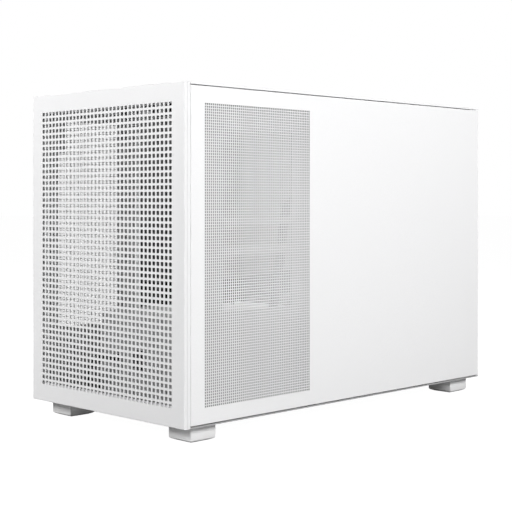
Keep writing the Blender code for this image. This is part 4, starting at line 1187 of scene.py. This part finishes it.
def make_lead(node, route, reach, wires, wire_radius, material):
    """Wires packed round the lead's middle line inside its own radius, as one curve object."""
    curve = bpy.data.curves.new(node + "_wires", "CURVE")
    curve.dimensions = "3D"
    curve.bevel_depth = wire_radius * MM
    curve.bevel_resolution = 2
    curve.use_fill_caps = True
    points = smooth_route(route)
    for n in range(wires):
        ring_turn = 2 * math.pi * n / max(wires - 1, 1)
        offset = (reach - wire_radius) if n else 0.0
        line = curve.splines.new("POLY")
        line.points.add(len(points) - 1)
        side = Vector((0, 0, 1))
        for place, target in zip(points, line.points):
            index = points.index(place)
            way = (points[min(index + 1, len(points) - 1)] - points[max(index - 1, 0)]).normalized()
            side = (side - way * side.dot(way)).normalized() if abs(side.dot(way)) < 0.999 else way.orthogonal().normalized()
            lift = way.cross(side)
            twist = ring_turn + index * 0.05
            moved = place + side * (offset * math.cos(twist)) + lift * (offset * math.sin(twist))
            target.co = (*(moved * MM), 1.0)
    curve.materials.append(material)
    made = bpy.data.objects.new(node + "_wires", curve)
    bpy.context.scene.collection.objects.link(made)
    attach(made, "chassis")
    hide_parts(node)
    return points


def make_leads():
    face = box_mm("power_supply_case")[1].y + 0.3
    out = face + 2.5
    header = 65.7
    make_lead("board_power_lead", [
        (20, face, 60), (20, out, 60), (21, -21.5, 68), (24, -20.5, 90), (36, -20.5, 150),
        (42, -21, 190), (48, -22, 208), (56, -22.6, 215), (header - 2, -22.7, 216), (header, -22.7, 216),
    ], 5.0, 7, 1.65, SLEEVE)
    make_lead("processor_power_lead", [
        (60, face, 30), (60, out, 30), (66, -20, 29), (80, -13, 27.5), (92, -6, 32),
        (95, 10, 60), (95, 60, 150), (95, 130, 260), (93, 165, 298), (84, 180, 305), (70, 181, 302),
        (56, 181, 290), (54, 181, 274), (58, 181, 267), (header - 2, 181, 267), (header, 181, 267),
    ], 3.0, 7, 1.0, SLEEVE)
    make_lead("graphics_power_lead", [
        (-20, face, 60), (-20, out, 60), (-24, -21, 70), (-42, -20, 94), (-52, -10, 108),
        (-54, 10, 113), (-50, 26, 112.5), (-43, 32, 112), (-36.3, 32, 112), (-34.3, 32, 112),
    ], 3.5, 7, 1.15, SLEEVE)
    low, high = box_mm("rear_inlet")
    x, z = (low.x + high.x) / 2, (low.z + high.z) / 2
    plug = box_mm("power_supply_case")[0].y - 0.3
    make_lead("inlet_lead", [
        (x, low.y - 0.3, z), (x, 188, z), (x, 170, 46), (x, 150, 26), (x, 0, 23), (x, -120, 23),
        (x, -172, 28), (x + 8, -188, 42), (x + 26, -190, 58), (-40, plug - 6, 60), (-40, plug, 60),
    ], 3.5, 1, 3.5, RUBBER_DARK)
    plugs = bmesh.new()
    for place, size in (((20, out - 2.5, 60), (11, 5.5, 6)), ((-20, out - 2.5, 60), (8, 5.5, 5)), ((60, out - 2.5, 30), (8, 5.5, 5))):
        add_block(
            plugs,
            (place[0] - size[0], place[1], place[2] - size[2]),
            (place[0] + size[0], place[1] + 2.2, place[2] + size[2]),
            0.6,
        )
    piece("supply_plugs", plugs, PLASTIC_DARK, "chassis", smooth=35)


# ---------------------------------------------------------------------------
# Floor, lights and camera


def make_floor():
    shape = bmesh.new()
    bmesh.ops.create_grid(shape, x_segments=8, y_segments=8, size=12.0)
    mesh = bpy.data.meshes.new("floor")
    shape.to_mesh(mesh)
    shape.free()
    floor = bpy.data.objects.new("floor", mesh)
    bpy.context.scene.collection.objects.link(floor)
    material, tree, shader = start_material("Pale floor", 0.9)
    shader.inputs["Emission Color"].default_value = colour(1.0)
    path = add_node(tree, "ShaderNodeLightPath")
    tone = mix_colour(tree, path.outputs["Is Camera Ray"], colour(FLOOR_BOUNCE), colour(FLOOR_SEEN))
    wire(tree, tone, shader.inputs["Base Color"])
    lift = map_range(tree, path.outputs["Is Camera Ray"], 0.0, 1.0, 0.0, FLOOR_LIFT)
    wire(tree, lift, shader.inputs["Emission Strength"])
    mesh.materials.append(material)


def add_area_light(name, place, target, width, height, watts):
    lamp = bpy.data.lights.new(name, "AREA")
    lamp.shape = "RECTANGLE"
    lamp.size = width
    lamp.size_y = height
    lamp.energy = watts
    made = bpy.data.objects.new(name, lamp)
    made.location = place
    made.rotation_euler = (Vector(target) - Vector(place)).to_track_quat("-Z", "Y").to_euler()
    made.visible_camera = False
    bpy.context.scene.collection.objects.link(made)


def make_lights():
    world = bpy.data.worlds.new("Studio")
    bpy.context.scene.world = world
    world.use_nodes = True
    tree = world.node_tree
    background = tree.nodes["Background"]
    background.inputs["Color"].default_value = colour(1.0)
    direction = add_node(tree, "ShaderNodeTexCoord").outputs["Generated"]
    apart = add_node(tree, "ShaderNodeSeparateXYZ")
    wire(tree, direction, apart.inputs["Vector"])
    sky = map_range(tree, apart.outputs["Z"], 0.0, 1.0, SKY_LOW, SKY_HIGH)
    path = add_node(tree, "ShaderNodeLightPath")
    seen = map_range(tree, path.outputs["Is Camera Ray"], 0.0, 1.0, sky, 1.0)
    wire(tree, seen, background.inputs["Strength"])
    for lamp in LAMPS:
        add_area_light(*lamp)


def make_camera():
    lens = bpy.data.cameras.new("camera")
    lens.lens = CAMERA_LENS
    lens.sensor_width = 36.0
    lens.shift_y = CAMERA_SHIFT_Y
    lens.clip_start = 0.01
    lens.clip_end = 60.0
    made = bpy.data.objects.new("camera", lens)
    heading = math.radians(CAMERA_HEADING)
    pitch = math.radians(CAMERA_PITCH)
    forward = Vector(
        (math.sin(heading) * math.cos(pitch), math.cos(heading) * math.cos(pitch), math.sin(pitch))
    )
    made.location = CAMERA_PLACE
    made.rotation_euler = forward.to_track_quat("-Z", "Y").to_euler()
    bpy.context.scene.collection.objects.link(made)
    bpy.context.scene.camera = made


bpy.context.scene.view_settings.view_transform = "Standard"
dress_all()
# The service plate gets the darkened coat: painted shade
dress("right_service_plate", PLATE_PAINTED_SHADE_COAT)
# The inner chassis, bottom pan and supply case take the darkened inner coat: painted shade
for inner_node in ("motherboard_tray", "left_fan_bracket", "front_frame", "bottom_pan", "power_supply_case"):
    dress(inner_node, INNER_PAINTED_SHADE_COAT)
make_front_cover()
make_right_panel()
make_left_cover()
make_feet()
make_top_filter()
make_controls()
make_glass_pane()
make_rear_panel()
make_rear_fittings()
make_rotors()
make_board_parts()
make_memory()
make_heatsinks()
make_graphics_parts()
make_leads()
make_floor()
make_lights()
make_camera()
